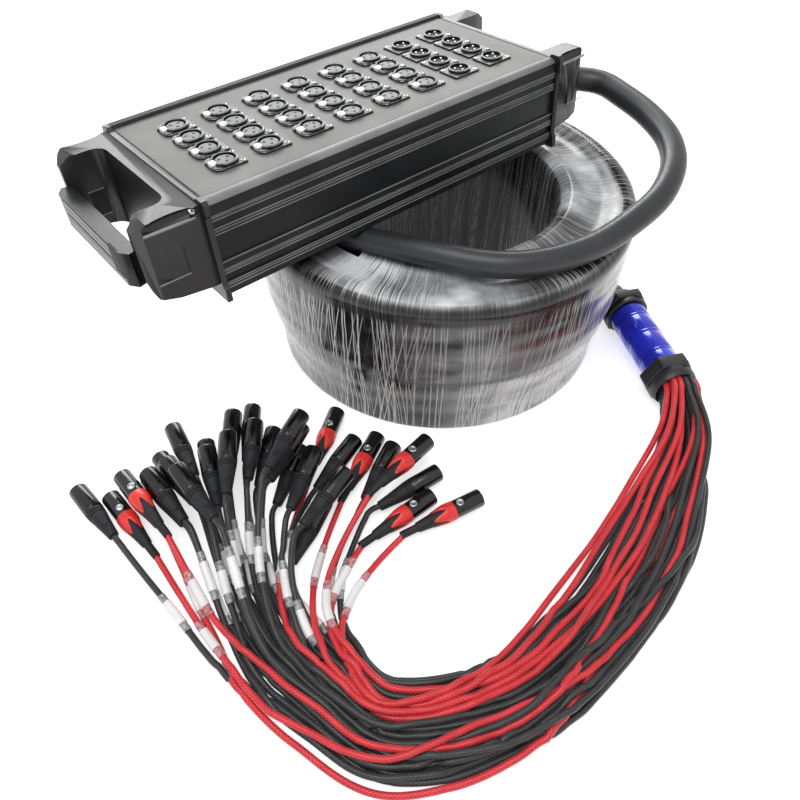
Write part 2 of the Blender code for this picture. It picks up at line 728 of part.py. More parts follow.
def build_gland(box):
    """A gland through the cap's plate: spigot, hexagon nut and dome, with a blind bore for the cable."""
    place = Matrix.Translation((0, GLAND_Y, GLAND_Z)) @ X_UP
    start = BOX_LENGTH / 2 + 2 * CLEARANCE
    nut_start = start + CAP_PLATE
    nut_end = nut_start + GLAND_NUT_LENGTH
    bore = CABLE_OD / 2 + CLEARANCE
    floor = GLAND_TIP - GLAND_BORE_DEPTH
    body = [(0, start), (GLAND_SPIGOT_RADIUS, start), (GLAND_SPIGOT_RADIUS, GLAND_TIP - 0.004),
            (bore + 0.0015, GLAND_TIP), (0, GLAND_TIP)]
    gland = add_object("cable_gland", turned_mesh("cable_gland", body, ROUND_SIDES, place), NUT_BLACK, box)
    combine(gland, "UNION", hexagon_mesh("gland_nut", GLAND_NUT_FLATS, nut_start, nut_end, place))
    bore_profile = [(0, floor), (bore, floor), (bore, GLAND_TIP + 0.01), (0, GLAND_TIP + 0.01)]
    combine(gland, "DIFFERENCE", turned_mesh("gland_bore", bore_profile, ROUND_SIDES, place))
    hole = GLAND_SPIGOT_RADIUS + CLEARANCE
    profile = [(0, BOX_LENGTH / 2 - 0.01), (hole, BOX_LENGTH / 2 - 0.01), (hole, BOX_LENGTH), (0, BOX_LENGTH)]
    return turned_mesh("gland_hole", profile, ROUND_SIDES, place)


# The multicore's way from the gland over the film's rim, from the coil's centre: x, y, z
RUN_ROUTE = [(0.192, 0.005, 0.239), (0.213, -0.022, 0.238), (0.210, -0.056, 0.237), (0.199, -0.100, 0.236),
             (0.178, -0.143, 0.234), (0.148, -0.174, 0.229), (0.108, -0.192, 0.220), (0.066, -0.194, 0.210),
             (0.023, -0.191, 0.203), (-0.017, -0.181, 0.2003), (-0.053, -0.164, 0.2001),
             (-0.079, -0.139, 0.2000), (-0.103, -0.100, 0.1990), (-0.122, -0.058, 0.1935)]
PINCH = (-0.137, -0.022)


def build_run(coil_end, coil_direction):
    """The free stretch from the gland, over the film's rim and in under the box to the coil's last turn."""
    bottom = BOX_MATRIX @ Vector((GLAND_TIP - GLAND_BORE_DEPTH + CLEARANCE, GLAND_Y, GLAND_Z))
    mouth = BOX_MATRIX @ Vector((GLAND_TIP + 0.006, GLAND_Y, GLAND_Z))
    pinch_z = underside_height(PINCH[1]) - CABLE_OD / 2 - 2 * CLEARANCE
    meeting = coil_end + coil_direction * CLEARANCE
    straight = meeting + coil_direction * CABLE_OD
    way = [mouth] + [on_plan(*point) for point in RUN_ROUTE] + [on_plan(*PINCH, pinch_z), straight]
    points = [bottom] + smooth_route(way, 0.028) + [meeting]
    add_object("multicore_run", tube_mesh("multicore_run", points, CABLE_OD / 2, 2), JACKET)


def build_breakout():
    """Domed inlet nut, blue sleeve with a spigot at each end, and outlet nut with a wide mouth."""
    place = frame_along(breakout_place(0), BREAKOUT_DIRECTION)
    bore = CABLE_OD / 2 + CLEARANCE
    spigot, spigot_bore = SPIGOT_OD / 2, SPIGOT_OD / 2 + CLEARANCE
    inlet_end = INLET_START + INLET_LENGTH
    dome_end = INLET_START + INLET_DOME
    dome_profile = [(0, INLET_START), (bore + 0.003, INLET_START), (NUT_FLATS / 2 - 0.004, dome_end - 0.004),
                    (NUT_FLATS / 2 - 0.001, dome_end), (NUT_FLATS / 2 - 0.001, dome_end + 0.004),
                    (0, dome_end + 0.004)]
    inlet = add_object("breakout_inlet_nut", hexagon_mesh("breakout_inlet_nut", NUT_FLATS, dome_end, inlet_end,
                                                          place), NUT_BLACK)
    combine(inlet, "UNION", turned_mesh("inlet_dome", dome_profile, ROUND_SIDES, place))
    hole = [(0, INLET_START - 0.01), (bore, INLET_START - 0.01), (bore, inlet_end - SPIGOT_LENGTH),
            (spigot_bore, inlet_end - SPIGOT_LENGTH), (spigot_bore, inlet_end + 0.01), (0, inlet_end + 0.01)]
    combine(inlet, "DIFFERENCE", turned_mesh("inlet_hole", hole, ROUND_SIDES, place))
    start = inlet_end + CLEARANCE
    end = start + SLEEVE_LENGTH
    tip = SPIGOT_LENGTH - 2 * CLEARANCE
    profile = [(0, start - tip), (spigot, start - tip), (spigot, start), (SLEEVE_OD / 2, start),
               (SLEEVE_OD / 2, end), (spigot, end), (spigot, end + tip), (0, end + tip)]
    add_object("breakout_sleeve", turned_mesh("breakout_sleeve", profile, ROUND_SIDES, place), SLEEVE_BLUE)
    nut_start = end + CLEARANCE
    nut_end = nut_start + OUTLET_LENGTH
    outlet = add_object("breakout_outlet_nut", hexagon_mesh("breakout_outlet_nut", NUT_FLATS, nut_start, nut_end,
                                                            place), NUT_BLACK)
    shoulder = nut_end - DISC_LENGTH
    hole = [(0, nut_start - 0.01), (spigot_bore, nut_start - 0.01), (spigot_bore, shoulder - CLEARANCE),
            (OUTLET_MOUTH_RADIUS, shoulder - CLEARANCE), (OUTLET_MOUTH_RADIUS, nut_end + 0.01), (0, nut_end + 0.01)]
    combine(outlet, "DIFFERENCE", turned_mesh("outlet_hole", hole, ROUND_SIDES, place))
    return shoulder, nut_end


# Middle of the bundle of tails from the breakout's mouth to where it fans out, from the coil's centre
BUNDLE_ROUTE = [(0.046, -0.334), (-0.052, -0.380), (-0.160, -0.405), (-0.270, -0.405), (-0.360, -0.362),
                (-0.402, -0.290)]
SPREAD = (0.5, 1.0, 1.0, 1.0, 1.05, 1.15)
SETTLED = (0.0, 1.0, 1.0, 1.0, 1.0, 1.0)
FAN_DIRECTION = Vector((-0.08, 0.997, 0))
FAN_SHARES = (0.18, 0.45, 0.75)
FAN_LEAVING = 1.3
FAN_ARRIVING = 0.8
FAN_ROUNDS = 160
FAN_SMOOTHING = 0.01
PLUG_SINK = 0.003

# Plugs from the left of the fan to its right: cable end of the boot x, y from the coil's centre in
# metres, heading in degrees, level in the pile, layer of the tail in the bundle, and whether a return
PLUGS = [(-0.457, -0.054, 94, 0, 0, False), (-0.4365, -0.082, 93, 0, 2, True),
         (-0.4175, -0.070, 92, 0, 1, True), (-0.4195, -0.082, 92, 1, 2, True),
         (-0.3985, -0.084, 91, 0, 0, False), (-0.3995, -0.095, 91, 1, 1, False),
         (-0.379, -0.068, 90, 0, 0, False), (-0.380, -0.094, 90, 1, 1, False),
         (-0.380, -0.124, 90, 2, 2, False), (-0.3625, -0.040, 80, 0, 0, False),
         (-0.360, -0.077, 68, 0, 0, False), (-0.367, -0.101, 69, 1, 1, False),
         (-0.358, -0.108, 58, 2, 2, False), (-0.336, -0.069, 56, 1, 1, False),
         (-0.337, -0.062, 56, 0, 0, False), (-0.328, -0.092, 53, 1, 1, False),
         (-0.312, -0.057, 53, 0, 0, False), (-0.319, -0.092, 45, 0, 0, False),
         (-0.312, -0.106, 30, 1, 1, False), (-0.311, -0.107, 30, 2, 2, False),
         (-0.317, -0.122, 37, 0, 0, False), (-0.315, -0.147, 37, 1, 1, False),
         (-0.341, -0.185, 30, 0, 0, False), (-0.316, -0.1695, 19, 1, 1, False),
         (-0.2585, -0.1045, 36, 0, 2, True), (-0.2755, -0.1315, 21, 0, 1, False),
         (-0.251, -0.151, 28, 0, 2, True), (-0.246, -0.172, 28, 0, 1, False),
         (-0.231, -0.178, 9, 1, 2, True), (-0.240, -0.188, -4, 0, 1, False),
         (-0.264, -0.211, 0, 0, 2, True), (-0.227, -0.230, -10, 0, 2, True)]


def lane_positions():
    """For each plug: its place in the root's grid, its side offset in lanes, and its layer."""
    found = []
    counts = [0, 0, 0]
    totals = [sum(1 for plug in PLUGS if plug[4] == layer) for layer in range(3)]
    roots = [root_order(2 * layer, totals[layer]) for layer in range(3)]
    for plug in PLUGS:
        layer = plug[4]
        index = counts[layer]
        counts[layer] += 1
        found.append((roots[layer][index], index - (totals[layer] - 1) / 2, layer))
    return found


def root_order(row, total):
    """Grid places of two rows of the root, side by side in the order of the lanes they spread to."""
    cells = []
    for column in range(ROOT_GRID):
        for step in (0, 1):
            corner = column in (0, ROOT_GRID - 1) and row + step in (0, ROOT_GRID - 1)
            if not corner:
                cells.append((column, row + step))
    return cells[:total]


def side_of(direction):
    """The level direction to the right of a way of travel."""
    return Vector((direction.y, -direction.x, 0)).normalized()


def bundle_stations(nut_end):
    """The bundle's stations: middle, side, how far the lanes have spread, how far the layers have sunk."""
    mouth = breakout_place(nut_end + 0.010, 0)
    middles = [mouth] + [on_plan(x, y) for x, y in BUNDLE_ROUTE]
    leaving = (middles[1] - mouth).normalized()
    stations = [(mouth, side_of(BREAKOUT_DIRECTION + leaving), 0.0, 0.0)]
    for index, (spread, settled) in enumerate(zip(SPREAD, SETTLED), start=1):
        following = middles[min(index + 1, len(middles) - 1)]
        direction = following - middles[index - 1]
        if index == len(middles) - 1:
            direction = FAN_DIRECTION
        stations.append((middles[index], side_of(direction), spread, settled))
    return stations


def tail_route(plug, lane, stations, disc_start):
    """A tail's way: straight out of the disc, along its lane in the bundle, and over the fan to its plug."""
    (column, row), offset, layer = lane
    root_side = (column - (ROOT_GRID - 1) / 2) * ROOT_PITCH
    root_height = BREAKOUT_Z + (row - (ROOT_GRID - 1) / 2) * ROOT_PITCH
    lane_side = offset * LANE_PITCH
    lane_height = TAIL_OD / 2 + FLOOR_GAP + layer * LAYER_PITCH
    up = Vector((0, 0, 1))
    start = breakout_place(disc_start, root_height) + side_of(BREAKOUT_DIRECTION) * root_side
    route = [start]
    for middle, side, spread, settled in stations:
        across = root_side + (lane_side - root_side) * spread
        height = root_height + (lane_height - root_height) * settled
        route.append(middle + side * across + up * height)
    end, heading = plug_end(plug)
    straight = end - heading * PLUG_STRAIGHT
    reach = (straight - route[-1]).length
    leaving, arriving = FAN_DIRECTION * reach * FAN_LEAVING, heading * reach * FAN_ARRIVING
    fan = [hermite(route[-1], leaving, straight, arriving, share) for share in FAN_SHARES]
    return route + fan + [straight, end + heading * PLUG_SINK]


def plug_stretches(plug):
    """The plug's boot and body as stretches of its axis, each with its radius."""
    end, heading = plug_end(plug)
    radius = RETURN_RING_OD / 2 if plug[5] else PLUG_OD / 2
    middle = PLUG_BOOT * 0.45
    return [(end, end + heading * middle, BOOT_SHOULDER_OD / 2 * 0.75),
            (end + heading * middle, end + heading * (PLUG_BOOT + radius), BOOT_SHOULDER_OD / 2),
            (end + heading * (PLUG_BOOT + radius), end + heading * (PLUG_LENGTH - radius), radius)]


def settle_fan(routes):
    """Let the tails push one another apart in the fan, as they do where they lie over each other."""
    first = len(BUNDLE_ROUTE)
    tails = numpy.array([[tuple(point) for point in route[first:]] for route in routes])
    count, steps = tails.shape[0], tails.shape[1] - 1
    bodies = [stretch for plug in PLUGS for stretch in plug_stretches(plug)]
    body_starts = numpy.array([tuple(body[0]) for body in bodies])
    body_ends = numpy.array([tuple(body[1]) for body in bodies])
    owner = numpy.concatenate([numpy.repeat(numpy.arange(count), steps), numpy.repeat(numpy.arange(count), 3)])
    radius = numpy.concatenate([numpy.full(count * steps, TAIL_OD / 2), [body[2] for body in bodies]])
    needed = radius[:, None] + radius[None] + TAIL_GAP
    apart = owner[:, None] != owner[None]
    free = slice(1, 2 + len(FAN_SHARES))
    for turn in range(FAN_ROUNDS):
        starts = numpy.concatenate([tails[:, :-1].reshape(-1, 3), body_starts])
        ends = numpy.concatenate([tails[:, 1:].reshape(-1, 3), body_ends])
        share, between = nearest_points(starts, ends)
        distance = numpy.linalg.norm(between, axis=2)
        push = numpy.where(apart & (distance < needed), needed - distance, 0.0)
        step = between / numpy.maximum(distance, 1e-9)[..., None] * push[..., None] * 0.5
        at_start = (step * (1 - share)[..., None]).sum(axis=1)[:count * steps].reshape(count, steps, 3)
        at_end = (step * share[..., None]).sum(axis=1)[:count * steps].reshape(count, steps, 3)
        shift = numpy.zeros_like(tails)
        shift[:, :-1] += at_start
        shift[:, 1:] += at_end
        if turn < FAN_ROUNDS // 2:
            shift[:, 1:-1] += FAN_SMOOTHING * (tails[:, :-2] + tails[:, 2:] - 2 * tails[:, 1:-1])
        tails[:, free] += shift[:, free]
        tails[:, free, 2] = numpy.maximum(tails[:, free, 2], TAIL_OD / 2 + FLOOR_GAP)
    return [route[:first] + [Vector(point) for point in tail] for route, tail in zip(routes, tails.tolist())]


def plug_end(plug):
    """Where the boot ends and the cable begins, and the way the plug points."""
    angle = math.radians(plug[2])
    return on_plan(plug[0], plug[1], PLUG_LEVELS[plug[3]]), Vector((math.cos(angle), math.sin(angle), 0))


def send_plug_mesh(plug):
    end, heading = plug_end(plug)
    radius = PLUG_OD / 2
    profile = [(0, 0), (BOOT_END_OD / 2, 0), (BOOT_SHOULDER_OD / 2, PLUG_BOOT - 0.002), (radius, PLUG_BOOT + 0.001),
               (radius, PLUG_LENGTH), (0, PLUG_LENGTH)]
    return turned_mesh("send_plug", profile, PLUG_SIDES, frame_along(end, heading), math.pi / PLUG_SIDES)


def return_plug_mesh(plug):
    end, heading = plug_end(plug)
    shell, ring = RETURN_SHELL_OD / 2, RETURN_RING_OD / 2
    profile = [(0, 0), (BOOT_END_OD / 2, 0), (BOOT_SHOULDER_OD / 2, PLUG_BOOT - 0.002), (ring, PLUG_BOOT),
               (ring, RETURN_RING_END), (shell, RETURN_RING_END + 0.0005), (shell, PLUG_LENGTH), (0, PLUG_LENGTH)]
    return turned_mesh("return_plug", profile, RETURN_SIDES, frame_along(end, heading), math.pi / RETURN_SIDES)


def build_return(number, plug, route):
    """A red tail with its female plug, and the plug's latch button in its pocket."""
    name = "return_cable_{}".format(number)
    cable = union_mesh(name, return_plug_mesh(plug), tube_mesh("tail", route, TAIL_OD / 2, 1))
    end, heading = plug_end(plug)
    face = RETURN_SHELL_OD / 2 + PLUG_LATCH_PROUD
    place = end + heading * (PLUG_LENGTH - PLUG_LATCH_FROM_TIP) + Vector((0, 0, face))
    depth = PLUG_LATCH_HEIGHT + LATCH_TRAVEL + CLEARANCE
    radius = PLUG_LATCH_OD / 2
    pocket = turned_mesh("pocket", [(0, -depth), (radius + CLEARANCE, -depth), (radius + CLEARANCE, 0.002), (0, 0.002)],
                         RETURN_SIDES, Matrix.Translation(place))
    cable = union_mesh(name, cable, pocket, "DIFFERENCE")
    add_object(name, cable, TAIL_RED)
    latch_name = "return_latch_{}".format(number)
    button = turned_mesh(latch_name, [(0, -PLUG_LATCH_HEIGHT), (radius, -PLUG_LATCH_HEIGHT), (radius, 0), (0, 0)],
                         RETURN_SIDES)
    add_object(latch_name, button, LATCH_SILVER, None, place)


def build_tails(shoulder, nut_end):
    """Sealing disc with the black tails and their male plugs, and each red tail with its female plug."""
    stations = bundle_stations(nut_end)
    disc_start = shoulder + CLEARANCE
    place = frame_along(breakout_place(0), BREAKOUT_DIRECTION)
    rim = OUTLET_MOUTH_RADIUS - CLEARANCE
    profile = [(0, disc_start), (rim, disc_start), (rim, nut_end), (0, nut_end)]
    disc = turned_mesh("send_tails", profile, ROUND_SIDES, place)
    sends, holes = [], []
    returns = 0
    routes = [tail_route(plug, lane, stations, disc_start) for plug, lane in zip(PLUGS, lane_positions())]
    for plug, route in zip(PLUGS, settle_fan(routes)):
        if plug[5]:
            returns += 1
            build_return(returns, plug, route)
            inside = route[0] - BREAKOUT_DIRECTION * 0.01
            holes.append(tube_mesh("hole", [inside, route[1]], TAIL_OD / 2 + CLEARANCE, 1))
        else:
            route[0] = route[0] + BREAKOUT_DIRECTION * 0.004
            sends.append(union_mesh("send", send_plug_mesh(plug), tube_mesh("tail", route, TAIL_OD / 2, 1)))
    disc = union_mesh("send_tails", disc, merged_mesh("return_holes", holes), "DIFFERENCE")
    tails = union_mesh("send_tails", disc, merged_mesh("send_cables", sends))
    add_object("send_tails", tails, TAIL_BLACK)


def build_all():
    coil_end, coil_direction = build_coil()
    build_core()
    build_film()
    build_run(coil_end, coil_direction)
    box = add_empty("stage_box", BOX_ORIGIN, (BOX_TILT, 0, 0))
    build_housing(box)
    build_panel(box)
    build_cap("handle_end_cap", box, with_bar=True, turned=True)
    cable_cap = build_cap("cable_end_cap", box, with_bar=False, turned=False)
    combine(cable_cap, "DIFFERENCE", build_gland(box))
    shoulder, nut_end = build_breakout()
    build_tails(shoulder, nut_end)


build_all()
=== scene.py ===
import math

import bmesh
import bpy
import numpy
from mathutils import Matrix, Vector, noise
from mathutils.kdtree import KDTree


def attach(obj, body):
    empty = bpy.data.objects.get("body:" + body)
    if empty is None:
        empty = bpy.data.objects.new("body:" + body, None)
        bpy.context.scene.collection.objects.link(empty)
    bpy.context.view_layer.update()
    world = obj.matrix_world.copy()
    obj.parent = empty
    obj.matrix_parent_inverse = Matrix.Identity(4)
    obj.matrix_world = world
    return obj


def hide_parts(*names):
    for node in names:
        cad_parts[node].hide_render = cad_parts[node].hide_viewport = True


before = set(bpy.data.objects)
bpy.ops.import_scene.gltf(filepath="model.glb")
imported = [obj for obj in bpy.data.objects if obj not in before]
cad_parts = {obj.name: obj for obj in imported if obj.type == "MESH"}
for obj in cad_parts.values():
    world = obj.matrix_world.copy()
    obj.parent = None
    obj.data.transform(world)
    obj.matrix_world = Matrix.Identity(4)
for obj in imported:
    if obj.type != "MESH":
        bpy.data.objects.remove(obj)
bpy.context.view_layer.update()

# Multicore audio cable: a stage box lying on its wound cable, the breakout and its 32 tails.
# Metres, +Z up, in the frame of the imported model.
coilCentre = Vector((0.0666, 0.0443, 0.0))
boxPlace = Matrix.Translation((-0.0149, 0.1060, 0.28639)) @ Matrix.Rotation(math.radians(-4.365), 4, "X")
alongX = Matrix(((0, 0, 1, 0), (1, 0, 0, 0), (0, 1, 0, 0), (0, 0, 0, 1)))


def onPlan(x, y, z=0.0):
    # a place given from the coil's centre
    return coilCentre + Vector((x, y, z))


def smoothstep(value):
    value = min(max(value, 0.0), 1.0)
    return value * value * (3 - 2 * value)


def linear(code):
    # sRGB hex to linear RGBA
    shares = [int(code[start:start + 2], 16) / 255 for start in (1, 3, 5)]
    return (*[share / 12.92 if share <= 0.04045 else ((share + 0.055) / 1.055) ** 2.4 for share in shares],
            1.0)


def addNode(tree, kind, settings=None, links=None):
    # a node with its settings, and its inputs linked from the given outputs
    node = tree.nodes.new("ShaderNode" + kind)
    for key, value in (settings or {}).items():
        if isinstance(key, str) and hasattr(node, key):
            setattr(node, key, value)
        else:
            node.inputs[key].default_value = value
    for key, output in (links or {}).items():
        tree.links.new(output, node.inputs[key])
    return node


finish = {}


def newFinish(name, shaderValues):
    material = bpy.data.materials.new(name)
    material.use_nodes = True
    finish[name] = material
    shader = material.node_tree.nodes["Principled BSDF"]
    for key, value in shaderValues.items():
        shader.inputs[key].default_value = value
    return material.node_tree, shader


def perMillimetre(tree, size):
    # object coordinates, scaled so that one unit is the given number of millimetres
    sizes = size if isinstance(size, tuple) else (size,) * 3
    point = addNode(tree, "TexCoord")
    scale = [1000 / side for side in sizes]
    return addNode(tree, "Mapping", {"Scale": scale}, {"Vector": point.outputs["Object"]}).outputs["Vector"]


def paint(tree, shader, share, stops, height, depth):
    # the base colour from one stop to the other, and the relief of a height
    colour = addNode(tree, "ValToRGB", links={"Fac": share})
    for element, (position, code) in zip(colour.color_ramp.elements, stops):
        element.position = position
        element.color = linear(code)
    tree.links.new(colour.outputs["Color"], shader.inputs["Base Color"])
    if depth:
        relief = addNode(tree, "Bump", {"Strength": 1.0, "Distance": depth}, {"Height": height})
        tree.links.new(relief.outputs["Normal"], shader.inputs["Normal"])


def makeFinish(name, dark, light, gloss, grain, patches, relief, metallic=0.0, specular=0.5, coat=0.0):
    # a finish told by its two colours, its roughness from the first to the second value of gloss, and in
    # millimetres the grain (along X, Y, Z where it has a direction), the patches and the depth of the relief
    tree, shader = newFinish(name, {"Metallic": metallic, "Specular IOR Level": specular, "Coat Weight": coat,
                                    "Coat Roughness": 0.08})
    uneven = addNode(tree, "TexNoise", {"Scale": 1.0, "Detail": 3.0},
                     {"Vector": perMillimetre(tree, patches)})
    fine = addNode(tree, "TexNoise", {"Scale": 1.0, "Detail": 4.0}, {"Vector": perMillimetre(tree, grain)})
    paint(tree, shader, uneven.outputs["Fac"], ((0.35, dark), (0.65, light)), fine.outputs["Fac"],
          relief / 1000)
    low, high = gloss
    rough = addNode(tree, "MapRange", {"From Min": 0.3, "From Max": 0.7, "To Min": low, "To Max": high},
                    {"Value": fine.outputs["Fac"]})
    tree.links.new(rough.outputs["Result"], shader.inputs["Roughness"])


def braidFinish(name, dark, light, thread):
    # braided polyester sleeve over each tail: crossing threads, in millimetres, give a fine diamond sparkle
    tree, shader = newFinish(name, {"Sheen Weight": 0.15})
    place = addNode(tree, "UVMap", {"uv_map": "alongCord"})
    threads = []
    for turn in (45, -45):
        turned = addNode(tree, "Mapping", {"Scale": (1000 / thread,) * 3,
                                           "Rotation": (0, 0, math.radians(turn))},
                         {"Vector": place.outputs["UV"]})
        threads.append(addNode(tree, "TexWave", {"Scale": 0.3, "Distortion": 0.4, "Detail": 0.0},
                               {"Vector": turned.outputs["Vector"]}).outputs["Fac"])
    woven = addNode(tree, "Math", {"operation": "MAXIMUM"}, {0: threads[0], 1: threads[1]}).outputs[0]
    uneven = addNode(tree, "TexNoise", {"Scale": 1.0, "Detail": 3.0}, {"Vector": perMillimetre(tree, 18)})
    share = addNode(tree, "Math", {"operation": "MULTIPLY"}, {0: woven, 1: uneven.outputs["Fac"]}).outputs[0]
    paint(tree, shader, share, ((0.1, dark), (0.6, light)), woven, 0.00012)
    rough = addNode(tree, "MapRange", {"To Min": 0.5, "To Max": 0.3}, {"Value": woven})
    tree.links.new(rough.outputs["Result"], shader.inputs["Roughness"])


def drawnLines(tree, place, rows):
    # straight pull lines. Each row: width of a line in mm, its lean in degrees, how much of the noise shows,
    # and the patch in mm over which it comes and goes
    def streaks(vector, scale, detail, low, high):
        stretched = addNode(tree, "Mapping", {"Scale": scale}, {"Vector": vector})
        grain = addNode(tree, "TexNoise", {"noise_dimensions": "2D", "Scale": 0.5, "Detail": detail},
                        {"Vector": stretched.outputs["Vector"]})
        shown = addNode(tree, "MapRange", {"From Min": low, "From Max": high},
                        {"Value": grain.outputs["Fac"]})
        return shown.outputs["Result"]

    drawn = None
    for width, lean, low, high, patch in rows:
        turned = addNode(tree, "Mapping", {"Rotation": (0, 0, math.radians(lean))}, {"Vector": place})
        vector = turned.outputs["Vector"]
        line = streaks(vector, (1000 / width, 0.3, 1), 0.0, low, high)
        shown = streaks(vector, (1000 / patch[0], 1000 / patch[1], 1), 1.0, 0.44, 0.54)
        one = addNode(tree, "Math", {"operation": "MULTIPLY"}, {0: line, 1: shown}).outputs[0]
        if drawn:
            one = addNode(tree, "Math", {"operation": "MAXIMUM"}, {0: drawn, 1: one}).outputs[0]
        drawn = one
    return drawn


def filmFinish():
    # stretch film, many turns of polyethylene: black cable behind it, crossed by silvery pull lines painted
    # pale into the colour, partly the film's milky folds and partly painted glints of the lamps
    tree, shader = newFinish("stretchFilm", {"Coat Weight": 0.15, "Coat Roughness": 0.12,
                                             "Specular IOR Level": 0.3})
    place = addNode(tree, "UVMap", {"uv_map": "roundFilm"}).outputs["UV"]
    # pale lines: painted glints of the lamps on the film's wrinkles, mixed with its milky folds
    pale = drawnLines(tree, place, ((0.8, 0.5, 0.60, 0.65, (8, 600)), (0.75, -4, 0.63, 0.68, (12, 300)),
                                    (1.3, 2, 0.64, 0.69, (16, 500)), (0.9, 10, 0.65, 0.70, (12, 200))))
    dark = drawnLines(tree, place, ((0.9, -2, 0.61, 0.66, (12, 240)), (1.2, 6, 0.64, 0.69, (16, 160))))
    # how milky the film is together with its painted light and shade, how many lines show and where the
    # painted red reflection lies come from the mesh's own attributes
    toneAndLight, density, redReflection = [addNode(tree, "Attribute", {"attribute_name": name}).outputs["Fac"]
                            for name in ("filmToneAndLight", "filmLines", "filmRedReflection")]
    haze = addNode(tree, "TexNoise", {"Scale": 1.0, "Detail": 3.0},
                   {"Vector": perMillimetre(tree, (38, 38, 20))})
    uneven = addNode(tree, "MapRange", {"From Min": 0.3, "From Max": 0.7, "To Min": 0.35, "To Max": 1.6},
                     {"Value": haze.outputs["Fac"]})
    milkAndLight, total, scores = [
        addNode(tree, "Math", {"operation": "MULTIPLY", "use_clamp": clamped}, {0: one, 1: other}).outputs[0]
        for one, other, clamped in ((toneAndLight, uneven.outputs["Result"], True), (pale, density, True),
                                    (dark, density, False))]
    colour = addNode(tree, "Mix", {"data_type": "RGBA", 6: linear("#0b0b0c"), 7: linear("#e4e5e8")},
                     {0: milkAndLight}).outputs[2]
    for share, code in ((redReflection, "#8c2a33"), (scores, "#1a1b1c"), (total, "#eceded")):
        mixed = addNode(tree, "Mix", {"data_type": "RGBA", 7: linear(code)}, {0: share, 6: colour})
        colour = mixed.outputs[2]
    tree.links.new(colour, shader.inputs["Base Color"])
    rough = addNode(tree, "MapRange", {"To Min": 0.18, "To Max": 0.4}, {"Value": total})
    tree.links.new(rough.outputs["Result"], shader.inputs["Roughness"])
    relief = addNode(tree, "Bump", {"Strength": 0.25, "Distance": 0.0002}, {"Height": total})
    tree.links.new(relief.outputs["Normal"], shader.inputs["Normal"])


# drawn aluminium, anodised charcoal: fine lines along the extrusion and a soft broad sheen
extruded = (60, 0.35, 0.35)
makeFinish("anodisedExtrusion", "#17181a", "#232426", (0.34, 0.5), extruded, 45, 0.02, metallic=0.3,
           specular=0.3)
# painted light: the extrusion's rails on their upward faces and its small ribs, pale as painted highlights
makeFinish("railTopsAndRibsLit", "#6e6f6e", "#858685", (0.44, 0.56), extruded, 45, 0.02, metallic=0.1)
# painted shade: the far rail's faces, a darker satin copy of the rail finish, turned to the light behind the
# box
makeFinish("farRailShaded", "#434444", "#525353", (0.6, 0.72), extruded, 45, 0.02, specular=0.2)
# bead-blasted and anodised sheet: even satin grey with a fine matte grain
makeFinish("blastedPanel", "#555552", "#686865", (0.5, 0.62), 0.5, 60, 0.02, metallic=0.05)
# moulded ABS, charcoal: fine spark-eroded grain that turns pale under a high light
makeFinish("mouldedAbs", "#131416", "#191a1c", (0.32, 0.42), 0.7, 30, 0.03)
# edges and lips of the mouldings, paler grey
makeFinish("paleMouldingEdge", "#7c7d7e", "#9d9e9f", (0.3, 0.42), 0.7, 20, 0.02)
# recesses and grooves of the mouldings, holes and screw slots: the same ABS painted near black, painted shade
# where no light falls; the panel's dark joints use it too
makeFinish("grooveShadow", "#08090a", "#121314", (0.6, 0.8), 1.5, 12, 0.0)
# die-cast zinc, black electrophoretic coat: smooth satin black
makeFinish("blackZinc", "#0f1012", "#191a1c", (0.24, 0.36), 1.2, 9, 0.015, metallic=0.2, specular=0.35)
# painted light: top of the socket plates, a paler mottled copy of the black zinc for the light it reflects
makeFinish("litZincTops", "#343533", "#5c5d5a", (0.36, 0.5), 0.9, 4, 0.02, metallic=0.2)
# edges of the coated zinc, paler grey
makeFinish("paleZincEdge", "#4a4b4c", "#86878a", (0.24, 0.38), 0.8, 4, 0.0, metallic=0.6)
# glass-filled nylon of the contact inserts: mid grey, dull
makeFinish("insertNylon", "#5f6163", "#737577", (0.45, 0.6), 0.9, 7, 0.02)
# nickel-plated brass: contacts, screws and latch plates
makeFinish("nickelPlate", "#9fa0a2", "#cbccce", (0.2, 0.32), 0.6, 5, 0.01, metallic=0.9)
# satin-chromed push tabs: nearly white
makeFinish("satinChrome", "#dededd", "#f6f6f4", (0.3, 0.42), 0.5, 5, 0.01, metallic=0.3)
# PVC jacket, extruded: matte dark grey, faintly streaked along its length
makeFinish("pvcJacket", "#26272a", "#303134", (0.32, 0.42), 2.5, 40, 0.06)
# moulded nylon of the nuts and glands: black, low gloss with soft glints on its edges
makeFinish("mouldedNylon", "#151618", "#222325", (0.34, 0.5), 1.0, 14, 0.05)
# dyed polished aluminium sleeve: deep glossy blue
makeFinish("dyedSleeve", "#0513b4", "#1a2fe0", (0.14, 0.26), 1.0, 35, 0.02, metallic=0.35, coat=0.6)
# scratches on the sleeve, down to pale metal
makeFinish("sleeveScratch", "#7a86ee", "#aeb6fa", (0.3, 0.5), 1.0, 6, 0.0, metallic=0.2)
# lacquered plug shells: glossy black with long highlights
makeFinish("lacqueredShell", "#070708", "#111112", (0.14, 0.26), 1.5, 12, 0.01, metallic=0.1, coat=0.25)
# thermoplastic rubber boots: dark grey and matte
makeFinish("rubberBoot", "#1f2022", "#2b2c2f", (0.5, 0.66), 0.8, 14, 0.05, specular=0.3)
# coding rings, moulded polyamide: bright warm red, half gloss
makeFinish("redRing", "#e8322f", "#f8443e", (0.24, 0.36), 1.2, 10, 0.01)
# paper label under clear heat-shrink: white with a wet-looking gloss
makeFinish("labelPaper", "#f4f4f3", "#ffffff", (0.16, 0.3), 3.0, 14, 0.04, coat=0.3)
